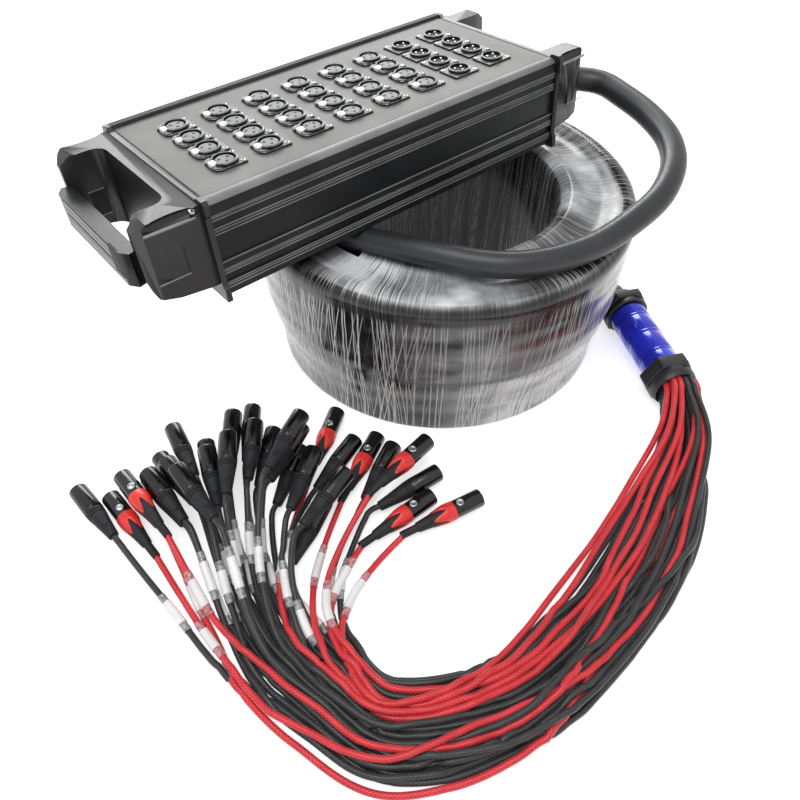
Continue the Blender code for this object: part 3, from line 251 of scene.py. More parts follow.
# bare ends of the clear heat-shrink, the cable showing through
makeFinish("shrinkEnd", "#6f7073", "#b9babd", (0.1, 0.2), 1.6, 3, 0.05, coat=0.6)
makeFinish("shrinkEndRed", "#b0555c", "#e2a8ab", (0.1, 0.2), 1.6, 3, 0.05, coat=0.6)
braidFinish("braidBlack", "#121314", "#37383a", 2.4)
braidFinish("braidRed", "#c81a22", "#f2404a", 2.4)
filmFinish()
print("finishes:", len(finish))


# Bodies made with bmesh operators

def at(x, y, z=0.0):
    return Matrix.Translation((x, y, z))


def turnedBy(degrees, axis):
    return Matrix.Rotation(math.radians(degrees), 4, axis)


def moved(bm, matrix):
    bmesh.ops.transform(bm, matrix=matrix, verts=bm.verts)
    return bm


def cleaned(bm):
    bmesh.ops.remove_doubles(bm, verts=bm.verts, dist=0.000001)
    bmesh.ops.recalc_face_normals(bm, faces=bm.faces)
    return bm


def turnedBody(profile, steps=48, closed=False):
    # a profile of radius and height, spun about Z
    bm = bmesh.new()
    verts = [bm.verts.new((radius, 0, height)) for radius, height in profile]
    edges = [bm.edges.new(pair) for pair in zip(verts, verts[1:])]
    if closed:
        edges.append(bm.edges.new((verts[-1], verts[0])))
    bmesh.ops.spin(bm, geom=verts + edges, cent=(0, 0, 0), axis=(0, 0, 1), angle=2 * math.pi, steps=steps,
                   use_merge=True)
    return cleaned(bm)


def prismBody(outline, low, high):
    # a flat outline raised from low to high
    bm = bmesh.new()
    face = bm.faces.new([bm.verts.new((x, y, low)) for x, y in outline])
    raised = bmesh.ops.extrude_face_region(bm, geom=[face])["geom"]
    verts = [item for item in raised if isinstance(item, bmesh.types.BMVert)]
    bmesh.ops.translate(bm, vec=(0, 0, high - low), verts=verts)
    return cleaned(bm)


def boxBody(low, high):
    bm = bmesh.new()
    bmesh.ops.create_cube(bm, size=1.0)
    low, high = Vector(low), Vector(high)
    bmesh.ops.scale(bm, vec=high - low, verts=bm.verts)
    bmesh.ops.translate(bm, vec=(low + high) / 2, verts=bm.verts)
    return bm


def roundEdges(bm, width, segments):
    # bevel of the edges sharper than 30 degrees
    edges = [edge for edge in bm.edges
             if len(edge.link_faces) == 2 and edge.calc_face_angle(0.0) > math.radians(30)]
    bmesh.ops.bevel(bm, geom=edges, offset=width, offset_type="OFFSET", segments=segments, profile=0.5,
                    affect="EDGES", clamp_overlap=True, material=-1)
    return bm


def roundRim(bm, height, width, segments):
    # bevel of the edges round the top at that height
    edges = [edge for edge in bm.edges if all(vert.co.z > height - 0.00001 for vert in edge.verts)]
    return bmesh.ops.bevel(bm, geom=edges, offset=width, offset_type="OFFSET", segments=segments,
                           profile=0.5, affect="EDGES", material=-1)["faces"]


def arc(centre, radius, start, end, count):
    # points on an arc, angles in degrees
    turns = [math.radians(start + (end - start) * index / count) for index in range(count + 1)]
    return [(centre[0] + radius * math.cos(turn), centre[1] + radius * math.sin(turn)) for turn in turns]


def keepBody(bm, index=0, name="body"):
    # a body as a mesh whose faces take the piece's finish of that index, or keep their own for None
    if index is not None:
        for face in bm.faces:
            face.material_index = index
    mesh = bpy.data.meshes.new(name)
    bm.to_mesh(mesh)
    bm.free()
    return mesh


def stamp(target, mesh, place=Matrix.Identity(4)):
    # a copy of a body in a larger one
    first = len(target.verts)
    target.from_mesh(mesh)
    target.verts.ensure_lookup_table()
    bmesh.ops.transform(target, matrix=place, verts=target.verts[first:])


def joinBodies(bodies):
    # bodies and their finish numbers, side by side in one
    joined = bmesh.new()
    for bm, index in bodies:
        stamp(joined, keepBody(bm, index))
    return joined


def linked(name, data):
    item = bpy.data.objects.new(name, data)
    bpy.context.scene.collection.objects.link(item)
    return item


def evaluated(item):
    bpy.context.view_layer.update()
    return bpy.data.meshes.new_from_object(item.evaluated_get(bpy.context.evaluated_depsgraph_get()))


def cutBody(bm, cutter):
    # the body with the cutter's shape taken out; its faces keep their finish numbers
    holders = [linked("cut", keepBody(shape, None)) for shape in (bm, cutter)]
    modifier = holders[0].modifiers.new("cut", "BOOLEAN")
    modifier.operation = "DIFFERENCE"
    modifier.object = holders[1]
    mesh = evaluated(holders[0])
    for holder in holders:
        bpy.data.objects.remove(holder, do_unlink=True)
    shape = bmesh.new()
    shape.from_mesh(mesh)
    return shape


def finishObject(name, mesh, looks, body="snake", replaced=(), smooth=35.0):
    # the finished piece: its mesh, finishes, body and the node that it stands for
    piece = linked(name, mesh)
    for look in looks:
        mesh.materials.append(finish[look])
    mesh.shade_smooth()
    mesh.set_sharp_from_angle(angle=math.radians(smooth))
    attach(piece, body)
    if replaced:
        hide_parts(*replaced)
    return piece


def finishPiece(name, bm, looks, body="snake", replaced=(), smooth=35.0):
    return finishObject(name, keepBody(bm, None, name), looks, body, replaced, smooth)


# Camera
cameraLook = {"place": (-0.4138, -0.4692, 0.6250), "forward": (0.4196, 0.5128, -0.749), "focalPixels": 740.0,
              "sensorWidth": 36.0, "frameWidth": 800.0}
camera = linked("camera", bpy.data.cameras.new("camera"))
camera.location = cameraLook["place"]
camera.rotation_euler = Vector(cameraLook["forward"]).to_track_quat("-Z", "Y").to_euler()
camera.data.sensor_width = cameraLook["sensorWidth"]
camera.data.lens = cameraLook["sensorWidth"] * cameraLook["focalPixels"] / cameraLook["frameWidth"]
camera.data.clip_start = 0.01
bpy.context.scene.camera = camera


# Cords

def hermite(start, leaving, end, arriving, share):
    square, cube = share * share, share ** 3
    return ((2 * cube - 3 * square + 1) * start + (cube - 2 * square + share) * leaving
            + (3 * square - 2 * cube) * end + (cube - square) * arriving)


def smoothRoute(points, step):
    # points about one step apart on a smooth curve through the given points
    places = [Vector(point) for point in points]
    padded = [2 * places[0] - places[1]] + places + [2 * places[-1] - places[-2]]
    route = [places[0]]
    for before, start, end, after in zip(padded, padded[1:], padded[2:], padded[3:]):
        count = max(1, round((end - start).length / step))
        for index in range(1, count + 1):
            route.append(hermite(start, (end - before) / 2, end, (after - start) / 2, index / count))
    return route


def routeLength(points):
    return sum((end - start).length for start, end in zip(points, points[1:]))


def cordMesh(name, points, radius, sides, floor=None):
    # a round tube through the points, with its UV in metres: round it, and along it
    curve = bpy.data.curves.new(name, "CURVE")
    curve.dimensions = "3D"
    curve.bevel_depth = radius
    curve.bevel_resolution = sides // 2 - 2
    curve.use_fill_caps = True
    spline = curve.splines.new("POLY")
    spline.points.add(len(points) - 1)
    for point, place in zip(spline.points, points):
        point.co = (*place, 1)
    holder = linked(name, curve)
    mesh = evaluated(holder)
    bpy.data.objects.remove(holder, do_unlink=True)
    bpy.data.curves.remove(curve)
    rings = len(points)
    sides = len(mesh.vertices) // rings if len(mesh.vertices) % rings == 0 else sides
    along = [0.0]
    for start, end in zip(points, points[1:]):
        along.append(along[-1] + (end - start).length)
    while mesh.uv_layers:
        mesh.uv_layers.remove(mesh.uv_layers[0])
    layer = mesh.uv_layers.new(name="alongCord")
    arcStep = 2 * math.pi * radius / sides
    for polygon in mesh.polygons:
        numbers = [mesh.loops[loop].vertex_index for loop in polygon.loop_indices]
        turns = [number % sides for number in numbers]
        wraps = max(turns) - min(turns) > sides / 2
        for loop, number, turn in zip(polygon.loop_indices, numbers, turns):
            ring = min(number // sides, rings - 1)
            turn += sides if wraps and turn < sides / 2 else 0
            layer.data[loop].uv = (turn * arcStep, along[ring])
    if floor is not None:
        for vertex in mesh.vertices:
            vertex.co.z = max(vertex.co.z, floor)
    return mesh


coil = {"cableOd": 0.026, "floorZ": 0.0104, "layers": 7, "pitch": 0.0270, "columnStep": 0.0277,
        "topRadius": 0.1925, "floorRadius": 0.1765, "taperLayers": 3.5, "lean": 0.004, "valleyDip": 0.011,
        "levelTurns": 0.211, "endTurn": 8.5417, "endRise": 0.008, "riseTurns": 0.17,
        "startAngle": math.radians(-26.0), "flareRadius": 0.2125, "flareTurns": 0.30, "coreInner": 0.1240}
coilTopZ = coil["floorZ"] + (coil["layers"] - 1) * coil["pitch"]
breakoutDirection = Vector((math.sin(coil["startAngle"]), -math.cos(coil["startAngle"]), 0))
breakoutZ = 0.026


def columnRadius(layer):
    # the outer column's radius, drawn in towards the floor
    share = smoothstep(layer / coil["taperLayers"])
    lower = coil["floorRadius"] + (coil["topRadius"] - coil["lean"] - coil["floorRadius"]) * share
    return lower + coil["lean"] * layer / (coil["layers"] - 1)


def windingPoint(turn):
    topTurn = coil["layers"] - 1
    climbed = max(turn - coil["levelTurns"], 0.0)
    whole = math.floor(climbed)
    layer = min(whole + smoothstep((climbed - whole - 2 / 3) * 3), topTurn)
    radius = columnRadius(layer)
    height = coil["floorZ"] + layer * coil["pitch"]
    if turn < coil["flareTurns"]:
        radius += (coil["flareRadius"] - coil["floorRadius"]) * (1 - smoothstep(turn / coil["flareTurns"]))
    first = smoothstep((climbed - topTurn - 1 / 3) * 3)
    second = smoothstep((climbed - topTurn - 4 / 3) * 3)
    radius -= coil["columnStep"] * (first + second)
    height -= coil["valleyDip"] * (first ** 2 - second)
    height += coil["endRise"] * smoothstep(1 - (coil["endTurn"] - turn) / coil["riseTurns"])
    angle = coil["startAngle"] + 2 * math.pi * turn
    return onPlan(radius * math.cos(angle), radius * math.sin(angle), height)


def breakoutPlace(distance, height=breakoutZ):
    tangent = onPlan(coil["flareRadius"] * math.cos(coil["startAngle"]),
                     coil["flareRadius"] * math.sin(coil["startAngle"]))
    return tangent + breakoutDirection * distance + Vector((0, 0, height))


coilSteps = round(coil["endTurn"] * 40)
coilPath = [breakoutPlace(0.074), breakoutPlace(0.060), breakoutPlace(0.048), breakoutPlace(0.034, 0.0205),
            breakoutPlace(0.020, coil["floorZ"] + 0.005)]
coilPath += [windingPoint(coil["endTurn"] * index / coilSteps) for index in range(coilSteps + 1)]
coilEnd = coilPath[-1]
coilDirection = (coilPath[-1] - coilPath[-2]).normalized()
coilPiece = finishObject("coil_cable", cordMesh("coil_cable", coilPath, coil["cableOd"] / 2, 16, floor=0.0),
                         ["pvcJacket"], replaced=("multicore_coil",), smooth=60)
print("coil:", round(routeLength(coilPath), 2), "m")

# The free stretch from the gland over the film's rim, from the coil's centre
runRoute = [(0.192, 0.005, 0.239), (0.213, -0.022, 0.238), (0.210, -0.056, 0.237), (0.199, -0.100, 0.236),
            (0.178, -0.143, 0.234), (0.148, -0.174, 0.229), (0.108, -0.192, 0.220), (0.066, -0.194, 0.210),
            (0.023, -0.191, 0.203), (-0.017, -0.181, 0.2003), (-0.053, -0.164, 0.2001),
            (-0.079, -0.139, 0.2000), (-0.103, -0.100, 0.1990), (-0.122, -0.058, 0.1935),
            (-0.137, -0.022, 0.1894)]
gland = {"y": -0.045, "z": -0.045, "tip": 0.228, "boreDepth": 0.018}
glandBottom = boxPlace @ Vector((gland["tip"] - gland["boreDepth"] + 0.0003, gland["y"], gland["z"]))
glandMouth = boxPlace @ Vector((gland["tip"] + 0.006, gland["y"], gland["z"]))
meeting = coilEnd + coilDirection * 0.0003
runPath = [glandBottom] + smoothRoute([glandMouth] + [onPlan(*point) for point in runRoute]
                                      + [meeting + coilDirection * 0.026], 0.010) + [meeting]
runPiece = finishObject("run_cable", cordMesh("run_cable", runPath, coil["cableOd"] / 2 - 0.0001, 24),
                        ["pvcJacket"], replaced=("multicore_run",), smooth=60)
print("run:", round(routeLength(runPath), 3), "m")

# Tails: sizes as in the CAD, then the same lanes with the loose lie of real cables
tail = {"od": 0.006, "gap": 0.0005, "rootPitch": 0.0068, "rootGrid": 6, "lanePitch": 0.0075,
        "layerPitch": 0.0067, "floorGap": 0.0004, "straight": 0.014, "sink": 0.003, "discStart": 0.1989,
        "nutEnd": 0.2106, "shares": (0.18, 0.45, 0.75), "leaving": 1.3, "arriving": 0.8, "rounds": 160,
        "smoothing": 0.01, "levels": (0.0100, 0.0298, 0.0496), "step": 0.0045, "wander": 0.0100,
        "settleRounds": 70, "lastRounds": 6, "search": 0.0130, "pushLimit": 0.0015, "sinking": 0.00022,
        "rest": 0.0001}
bundleRoute = [(0.046, -0.334), (-0.052, -0.380), (-0.160, -0.405), (-0.270, -0.405), (-0.360, -0.362),
               (-0.402, -0.290)]
spread = (0.5, 1.0, 1.0, 1.0, 1.05, 1.15)
settled = (0.0, 1.0, 1.0, 1.0, 1.0, 1.0)
# the red returns leave the nut side by side on the inner side of the bend, and mix with the others on the way
gathered = (0.0, 0.9, 1.0, 0.8, 0.5, 0.15, 0.0)
gathering = {"first": -0.010, "step": 0.0068, "narrow": 0.80, "outward": -0.003, "topLayer": 0.016}
fanDirection = Vector((-0.08, 0.997, 0))
# Plugs from the left of the fan: cable end of the boot x, y from the coil's centre, heading in degrees,
# level in the pile, layer in the bundle, whether a red return, and how far from the boot its label starts
plugs = [(-0.457, -0.054, 94, 0, 0, False, 0.084), (-0.4365, -0.082, 93, 0, 2, True, 0.098),
         (-0.4175, -0.070, 92, 0, 1, True, 0.066), (-0.4195, -0.082, 92, 1, 2, True, 0.058),
         (-0.3985, -0.084, 91, 0, 0, False, 0.074), (-0.3995, -0.095, 91, 1, 1, False, 0.038),
         (-0.379, -0.068, 90, 0, 0, False, 0.092), (-0.380, -0.094, 90, 1, 1, False, 0.056),
         (-0.380, -0.124, 90, 2, 2, False, 0.034), (-0.3625, -0.040, 80, 0, 0, False, 0.088),
         (-0.360, -0.077, 68, 0, 0, False, 0.062), (-0.367, -0.101, 69, 1, 1, False, 0.042),
         (-0.358, -0.108, 58, 2, 2, False, 0.036), (-0.336, -0.069, 56, 1, 1, False, 0.058),
         (-0.337, -0.062, 56, 0, 0, False, 0.090), (-0.328, -0.092, 53, 1, 1, False, 0.044),
         (-0.312, -0.057, 53, 0, 0, False, 0.068), (-0.319, -0.092, 45, 0, 0, False, 0.078),
         (-0.312, -0.106, 30, 1, 1, False, 0.040), (-0.311, -0.107, 30, 2, 2, False, 0.070),
         (-0.317, -0.122, 37, 0, 0, False, 0.096), (-0.315, -0.147, 37, 1, 1, False, 0.052),
         (-0.341, -0.185, 30, 0, 0, False, 0.036), (-0.316, -0.1695, 19, 1, 1, False, 0.074),
         (-0.2585, -0.1045, 36, 0, 2, True, 0.094), (-0.2755, -0.1315, 21, 0, 1, False, 0.062),
         (-0.251, -0.151, 28, 0, 2, True, 0.066), (-0.246, -0.172, 28, 0, 1, False, 0.080),
         (-0.231, -0.178, 9, 1, 2, True, 0.112), (-0.240, -0.188, -4, 0, 1, False, 0.064),
         (-0.264, -0.211, 0, 0, 2, True, 0.034), (-0.227, -0.230, -10, 0, 2, True, 0.070)]
plug = {"radius": 0.0095, "length": 0.072, "boot": 0.030, "shoulder": 0.0085,
        "returnRadius": 0.0093, "ringRadius": 0.0098, "latchFromTip": 0.024, "latchRadius": 0.0040,
        "latchProud": 0.0008, "latchHeight": 0.0030, "pocketGap": 0.0003}


def sideOf(direction):
    # the level direction to the right of a way of travel
    return Vector((direction.y, -direction.x, 0)).normalized()


def frameAlong(place, direction):
    # Z along the direction, Y level, X towards the floor for a level direction
    forward = Vector(direction).normalized()
    side = Vector((0, 0, 1)).cross(forward).normalized()
    turned = Matrix((side.cross(forward), side, forward)).transposed()
    return Matrix.Translation(place) @ turned.to_4x4()


def plugEnd(row):
    # where the boot ends and the cable begins, and the way the plug points
    angle = math.radians(row[2])
    return onPlan(row[0], row[1], tail["levels"][row[3]]), Vector((math.cos(angle), math.sin(angle), 0))


def rootCells(row, total):
    cells = []
    for column in range(tail["rootGrid"]):
        for step in (0, 1):
            corner = column in (0, tail["rootGrid"] - 1) and row + step in (0, tail["rootGrid"] - 1)
            if not corner:
                cells.append((column, row + step))
    return cells[:total]


def coarseRoutes():
    # every tail from the disc along its lane in the bundle and over the fan to its plug
    mouth = breakoutPlace(tail["nutEnd"] + 0.010, 0)
    middles = [mouth] + [onPlan(x, y) for x, y in bundleRoute]
    stations = [(mouth, sideOf(breakoutDirection + (middles[1] - mouth).normalized()), 0.0, 0.0)]
    for index in range(1, len(middles)):
        direction = middles[min(index + 1, len(middles) - 1)] - middles[index - 1]
        if index == len(middles) - 1:
            direction = fanDirection
        stations.append((middles[index], sideOf(direction), spread[index - 1], settled[index - 1]))
    totals = [sum(1 for row in plugs if row[4] == layer) for layer in range(3)]
    cells = [rootCells(2 * layer, totals[layer]) for layer in range(3)]
    counts = [0, 0, 0]
    redCount = 0
    routes = []
    for row in plugs:
        layer = row[4]
        column, level = cells[layer][counts[layer]]
        laneSide = (counts[layer] - (totals[layer] - 1) / 2) * tail["lanePitch"]
        counts[layer] += 1
        rootSide = (column - (tail["rootGrid"] - 1) / 2) * tail["rootPitch"]
        rootHeight = breakoutZ + (level - (tail["rootGrid"] - 1) / 2) * tail["rootPitch"]
        laneHeight = tail["od"] / 2 + tail["floorGap"] + layer * tail["layerPitch"]
        route = [breakoutPlace(tail["discStart"], rootHeight) + sideOf(breakoutDirection) * rootSide]
        if row[5]:
            together = gathering["first"] + gathering["step"] * redCount
            redCount += 1
        else:
            together = laneSide * gathering["narrow"] + gathering["outward"]
            together -= gathering["topLayer"] * (layer == 2)
        for (middle, side, share, sunk), group in zip(stations, gathered):
            across = rootSide + (laneSide + (together - laneSide) * group - rootSide) * share
            height = rootHeight + (laneHeight - rootHeight) * sunk
            route.append(middle + side * across + Vector((0, 0, height)))
        end, heading = plugEnd(row)
        straight = end - heading * tail["straight"]
        reach = (straight - route[-1]).length
        start = route[-1]
        for share in tail["shares"]:
            route.append(hermite(start, fanDirection * reach * tail["leaving"], straight,
                                 heading * reach * tail["arriving"], share))
        routes.append(route + [straight, end + heading * tail["sink"]])
    return routes


def plugStretches(row):
    # the boot and body as stretches of the axis, each with its radius
    end, heading = plugEnd(row)
    radius = plug["ringRadius"] if row[5] else plug["radius"]
    middle = plug["boot"] * 0.45
    return [(end, end + heading * middle, plug["shoulder"] * 0.75),
            (end + heading * middle, end + heading * (plug["boot"] + radius), plug["shoulder"]),
            (end + heading * (plug["boot"] + radius), end + heading * (plug["length"] - radius), radius)]


def nearestPoints(starts, ends):
    # for every pair of segments: the share along the first, and the vector between nearest points
    way = ends - starts
    offset = starts[:, None] - starts[None]
    longSq = (way * way).sum(axis=1)
    a, c = longSq[:, None], longSq[None]
    b = way @ way.T
    d = (way[:, None] * offset).sum(axis=2)
    e = (way[None] * offset).sum(axis=2)
    share = numpy.clip((b * e - c * d) / numpy.maximum(a * c - b * b, 1e-18), 0, 1)
    other = numpy.clip((b * share + e) / c, 0, 1)
    share = numpy.clip((b * other - d) / a, 0, 1)
    return share, offset + way[:, None] * share[..., None] - way[None] * other[..., None]


def settleFan(routes):
    # the tails push one another apart in the fan
    first = len(bundleRoute)
    tails = numpy.array([[tuple(point) for point in route[first:]] for route in routes])
    count, steps = tails.shape[0], tails.shape[1] - 1
    bodies = [stretch for row in plugs for stretch in plugStretches(row)]
    bodyStarts = numpy.array([tuple(body[0]) for body in bodies])
    bodyEnds = numpy.array([tuple(body[1]) for body in bodies])
    numbers = numpy.arange(count)
    owner = numpy.concatenate([numpy.repeat(numbers, steps), numpy.repeat(numbers, 3)])
    radius = numpy.concatenate([numpy.full(count * steps, tail["od"] / 2), [body[2] for body in bodies]])
    needed = radius[:, None] + radius[None] + tail["gap"]
    apart = owner[:, None] != owner[None]
    free = slice(1, 2 + len(tail["shares"]))
    for turn in range(tail["rounds"]):
        starts = numpy.concatenate([tails[:, :-1].reshape(-1, 3), bodyStarts])
        ends = numpy.concatenate([tails[:, 1:].reshape(-1, 3), bodyEnds])
        share, between = nearestPoints(starts, ends)
        distance = numpy.linalg.norm(between, axis=2)
        push = numpy.where(apart & (distance < needed), needed - distance, 0.0)
        step = between / numpy.maximum(distance, 1e-9)[..., None] * push[..., None] * 0.5
        shift = numpy.zeros_like(tails)
        for joints, part in ((slice(None, -1), 1 - share), (slice(1, None), share)):
            moves = (step * part[..., None]).sum(axis=1)[:count * steps]
            shift[:, joints] += moves.reshape(count, steps, 3)
        if turn < tail["rounds"] // 2:
            shift[:, 1:-1] += tail["smoothing"] * (tails[:, :-2] + tails[:, 2:] - 2 * tails[:, 1:-1])
        tails[:, free] += shift[:, free]
        tails[:, free, 2] = numpy.maximum(tails[:, free, 2], tail["od"] / 2 + tail["floorGap"])
    fans = [[Vector(point) for point in line] for line in tails.tolist()]
    return [route[:first] + line for route, line in zip(routes, fans)]


def wanderPath(number, route):
    # a close-stepped path whose middle strays a little from its lane
    path = smoothRoute(route, tail["step"])
    total = routeLength(path)
    run = 0.0
    strayed = [path[0]]
    for index in range(1, len(path)):
        run += (path[index] - path[index - 1]).length
        window = smoothstep((run - 0.05) / 0.10) * smoothstep((total - 0.10 - run) / 0.10)
        side = sideOf(path[min(index + 1, len(path) - 1)] - path[index - 1])
        stray = noise.noise(Vector((number * 7.31, run * 4.2, 0.5))) * tail["wander"] * 2.0
        rise = max(noise.noise(Vector((number * 3.17, run * 5.0, 8.5))), 0.0) * tail["wander"]
        strayed.append(path[index] + (side * stray + Vector((0, 0, rise))) * window)
    return strayed


def settleTails(paths):
    # close up: neighbouring tails and plugs push apart, and everything sinks to the floor. What moves a tail
    # off its lane is smoothed along it, so that the bends stay gentle
    owners, weights, reaches, places, ranges = [], [], [], [], []
    for number, path in enumerate(paths):
        ranges.append((len(places), len(places) + len(path)))
        for index, place in enumerate(path):
            places.append(tuple(place))
            owners.append(number)
            weights.append(0.0 if index < 7 or index > len(path) - 6 else 1.0)
            reaches.append(tail["od"] / 2 + 0.00005)
    for number, row in enumerate(plugs):
        for start, end, radius in plugStretches(row):
            count = max(2, round((end - start).length / 0.004))
            for index in range(count + 1):
                places.append(tuple(start.lerp(end, index / count)))
                owners.append(number)
                weights.append(0.0)
                reaches.append(radius)
    spots = numpy.array(places)
    lanes = spots.copy()
    weights = numpy.array(weights)
    for turn in range(tail["settleRounds"]):
        tree = KDTree(len(spots))
        for index, spot in enumerate(spots):
            tree.insert(spot, index)
        tree.balance()
        shift = numpy.zeros_like(spots)
        for index in numpy.nonzero(weights)[0]:
            here = Vector(spots[index])
            for there, other, distance in tree.find_range(here, tail["search"]):
                needed = reaches[index] + reaches[other]
                if owners[other] != owners[index] and distance < needed:
                    share = 0.45 if weights[other] else 0.9
                    shift[index] += (here - there) / max(distance, 1e-6) * (needed - distance) * share
        spots += numpy.clip(shift, -tail["pushLimit"], tail["pushLimit"]) * weights[:, None]
        if turn < tail["settleRounds"] - tail["lastRounds"]:
            spots[:, 2] -= tail["sinking"] * weights
            for first, last in ranges:
                line = spots[first:last] - lanes[first:last]
                bend = numpy.zeros_like(line)
                bend[1:-1] = 0.25 * (line[:-2] + line[2:] - 2 * line[1:-1])
                bend[4:-4] += 0.15 * (line[:-8] + line[8:] - 2 * line[4:-4])
                spots[first:last] += bend * weights[first:last, None]
        resting = numpy.maximum(spots[:, 2], tail["od"] / 2 + tail["rest"])
        spots[:, 2] = numpy.where(weights > 0, resting, spots[:, 2])
    return [[Vector(spot) for spot in spots[first:last]] for first, last in ranges]


fanRoutes = settleFan(coarseRoutes())
tailPaths = settleTails([wanderPath(number, route) for number, route in enumerate(fanRoutes)])
print("tails settled:", len(tailPaths))


def contactPlaces(radius):
    # three contacts: two to the upper side and one below
    turns = [math.radians(turn) for turn in (30, 150, 270)]
    return [(radius * math.cos(turn), radius * math.sin(turn)) for turn in turns]


plugLooks = ["lacqueredShell", "rubberBoot", "nickelPlate", "grooveShadow", "redRing"]


def sendPlugBody():
    # male plug: rubber boot with two ring grooves, lacquered shell open at the tip, three pins
    boot = [(0.0031, 0.0006), (0.0046, 0.0), (0.0051, 0.0007), (0.0056, 0.0060), (0.0065, 0.0140),
            (0.0075, 0.0220), (0.0082, 0.0275), (0.0086, 0.0297), (0.0080, 0.0300), (0.0080, 0.0309),
            (0.0088, 0.0312), (0.0090, 0.0330), (0.0083, 0.0333), (0.0083, 0.0342), (0.0091, 0.0345),
            (0.0093, 0.0372), (0.0088, 0.0376), (0.0060, 0.0376)]
    shell = [(0.0086, 0.0376), (0.0092, 0.0378), (0.0095, 0.0383), (0.0095, 0.0702), (0.0094, 0.0714),
             (0.0091, 0.0720), (0.0086, 0.0720), (0.0083, 0.0716), (0.0083, 0.0570), (0.0, 0.0570)]
    bodies = [(turnedBody(boot, 28), 1), (turnedBody(shell, 36), 0)]
    pin = [(0.0012, 0.0568), (0.0012, 0.0690), (0.0009, 0.0699), (0.0, 0.0702)]
    for x, y in contactPlaces(0.0043):
        bodies.append((moved(turnedBody(pin, 10), at(y, x)), 2))
    # grip ribs across the boot's upper side and the oval thumb mark
    for index in range(5):
        z = 0.0392 + index * 0.0013
        bodies.append((boxBody((-0.0097, -0.0030, z), (-0.0090, 0.0030, z + 0.0006)), 1))
    mark = turnedBody([(0.0, -0.0002), (0.0022, -0.0002), (0.0030, 0.0), (0.0024, 0.0003), (0.0, 0.0001)], 20)
    bmesh.ops.scale(mark, vec=(1.9, 1.0, 1.0), verts=mark.verts)
    bodies.append((moved(mark, at(-0.0070, 0, 0.0170) @ turnedBy(-83, "Y")), 3))
    return keepBody(joinBodies(bodies), None)


def returnPlugBody():
    # female plug: sleeve and boot, red ring with wavy claws, shell with a pocket for its latch, three holes
    boot = [(0.0031, -0.0180), (0.0037, -0.0178), (0.0039, -0.0140), (0.0040, -0.0010), (0.0047, 0.0),
            (0.0052, 0.0007), (0.0059, 0.0080), (0.0068, 0.0160), (0.0078, 0.0240), (0.0083, 0.0290),
            (0.0083, 0.0400)]
    ring = [(0.0066, 0.0164), (0.0074, 0.0160), (0.0081, 0.0200), (0.0088, 0.0245), (0.0094, 0.0285),
            (0.0097, 0.0310), (0.0098, 0.0328), (0.0098, 0.0402), (0.0095, 0.0410), (0.0083, 0.0410)]
    shell = [(0.0088, 0.0411), (0.0093, 0.0414), (0.0093, 0.0706), (0.0090, 0.0718), (0.0084, 0.0720),
             (0.0079, 0.0716), (0.0079, 0.0411)]
    # four claws reach down the boot with round tongues of it between them, one of them on the upper side
    claws = turnedBody(ring, 72)
    for vertex in claws.verts:
        if vertex.co.z < 0.0320:
            turn = math.atan2(vertex.co.y, -vertex.co.x)
            tongue = 1 - abs(math.sin(2 * turn)) ** 1.6
            lift = 0.0150 * tongue * (0.0320 - vertex.co.z) / 0.0160
            slope = (vertex.co.z + lift + 0.0350) / (vertex.co.z + 0.0350)
            vertex.co.z += lift
            vertex.co.x *= slope ** 0.6
            vertex.co.y *= slope ** 0.6
    hole = plug["latchRadius"] + plug["pocketGap"]
    pocket = turnedBody([(0.0, -0.0060), (hole, -0.0060), (hole, 0.0060), (0.0, 0.0060)], 24)
    # the pocket's axis is upright: across the plug's own axis
    pocketPlace = at(-0.0101, 0, plug["length"] - plug["latchFromTip"]) @ turnedBy(90, "Y")
    keptPocket = keepBody(moved(pocket, pocketPlace))
    plate = roundEdges(boxBody((-0.0095, -0.0034, 0.0455), (-0.0076, 0.0034, 0.0560)), 0.0010, 2)
    bodies = [(turnedBody(boot, 28), 1), (claws, 4)]
    for body in (turnedBody(shell, 40, closed=True), plate):
        cutter = bmesh.new()
        cutter.from_mesh(keptPocket)
        bodies.append((cutBody(body, cutter), 0))
    # a disc closes the shell behind the latch, near black as painted shade inside the shell, and the insert
    # holds the contacts
    bodies.append((turnedBody([(0.0079, 0.0425), (0.0, 0.0425)], 24), 3))
    bodies.append((turnedBody([(0.0, 0.0620), (0.0078, 0.0620), (0.0078, 0.0708), (0.0, 0.0708)], 28), 1))
    # the contact holes are near-black discs: painted shade in them
    hole = [(0.0, 0.0706), (0.0014, 0.0706), (0.0014, 0.0709), (0.0, 0.0709)]
    for x, y in contactPlaces(0.0043):
        bodies.append((moved(turnedBody(hole, 12), at(y, x)), 3))
    return keepBody(joinBodies(bodies), None)


def labelPiece(name, path, start, length, red):
    # clear heat-shrink over a paper label, its ends bare
    spots, run = [], 0.0
    for before, after in zip(path, path[1:]):
        run += (after - before).length
        if start <= run <= start + length:
            spots.append(after)
    bodies = []
    for part, radius, look in ((spots[:3], 0.0037, 1), (spots[2:-2], 0.0043, 0), (spots[-3:], 0.0037, 1)):
        bm = bmesh.new()
        bm.from_mesh(cordMesh(name, part, radius, 14, floor=0.0002))
        bodies.append((bm, look))
    return finishPiece(name, joinBodies(bodies), ["labelPaper", "shrinkEndRed" if red else "shrinkEnd"],
                       smooth=50)


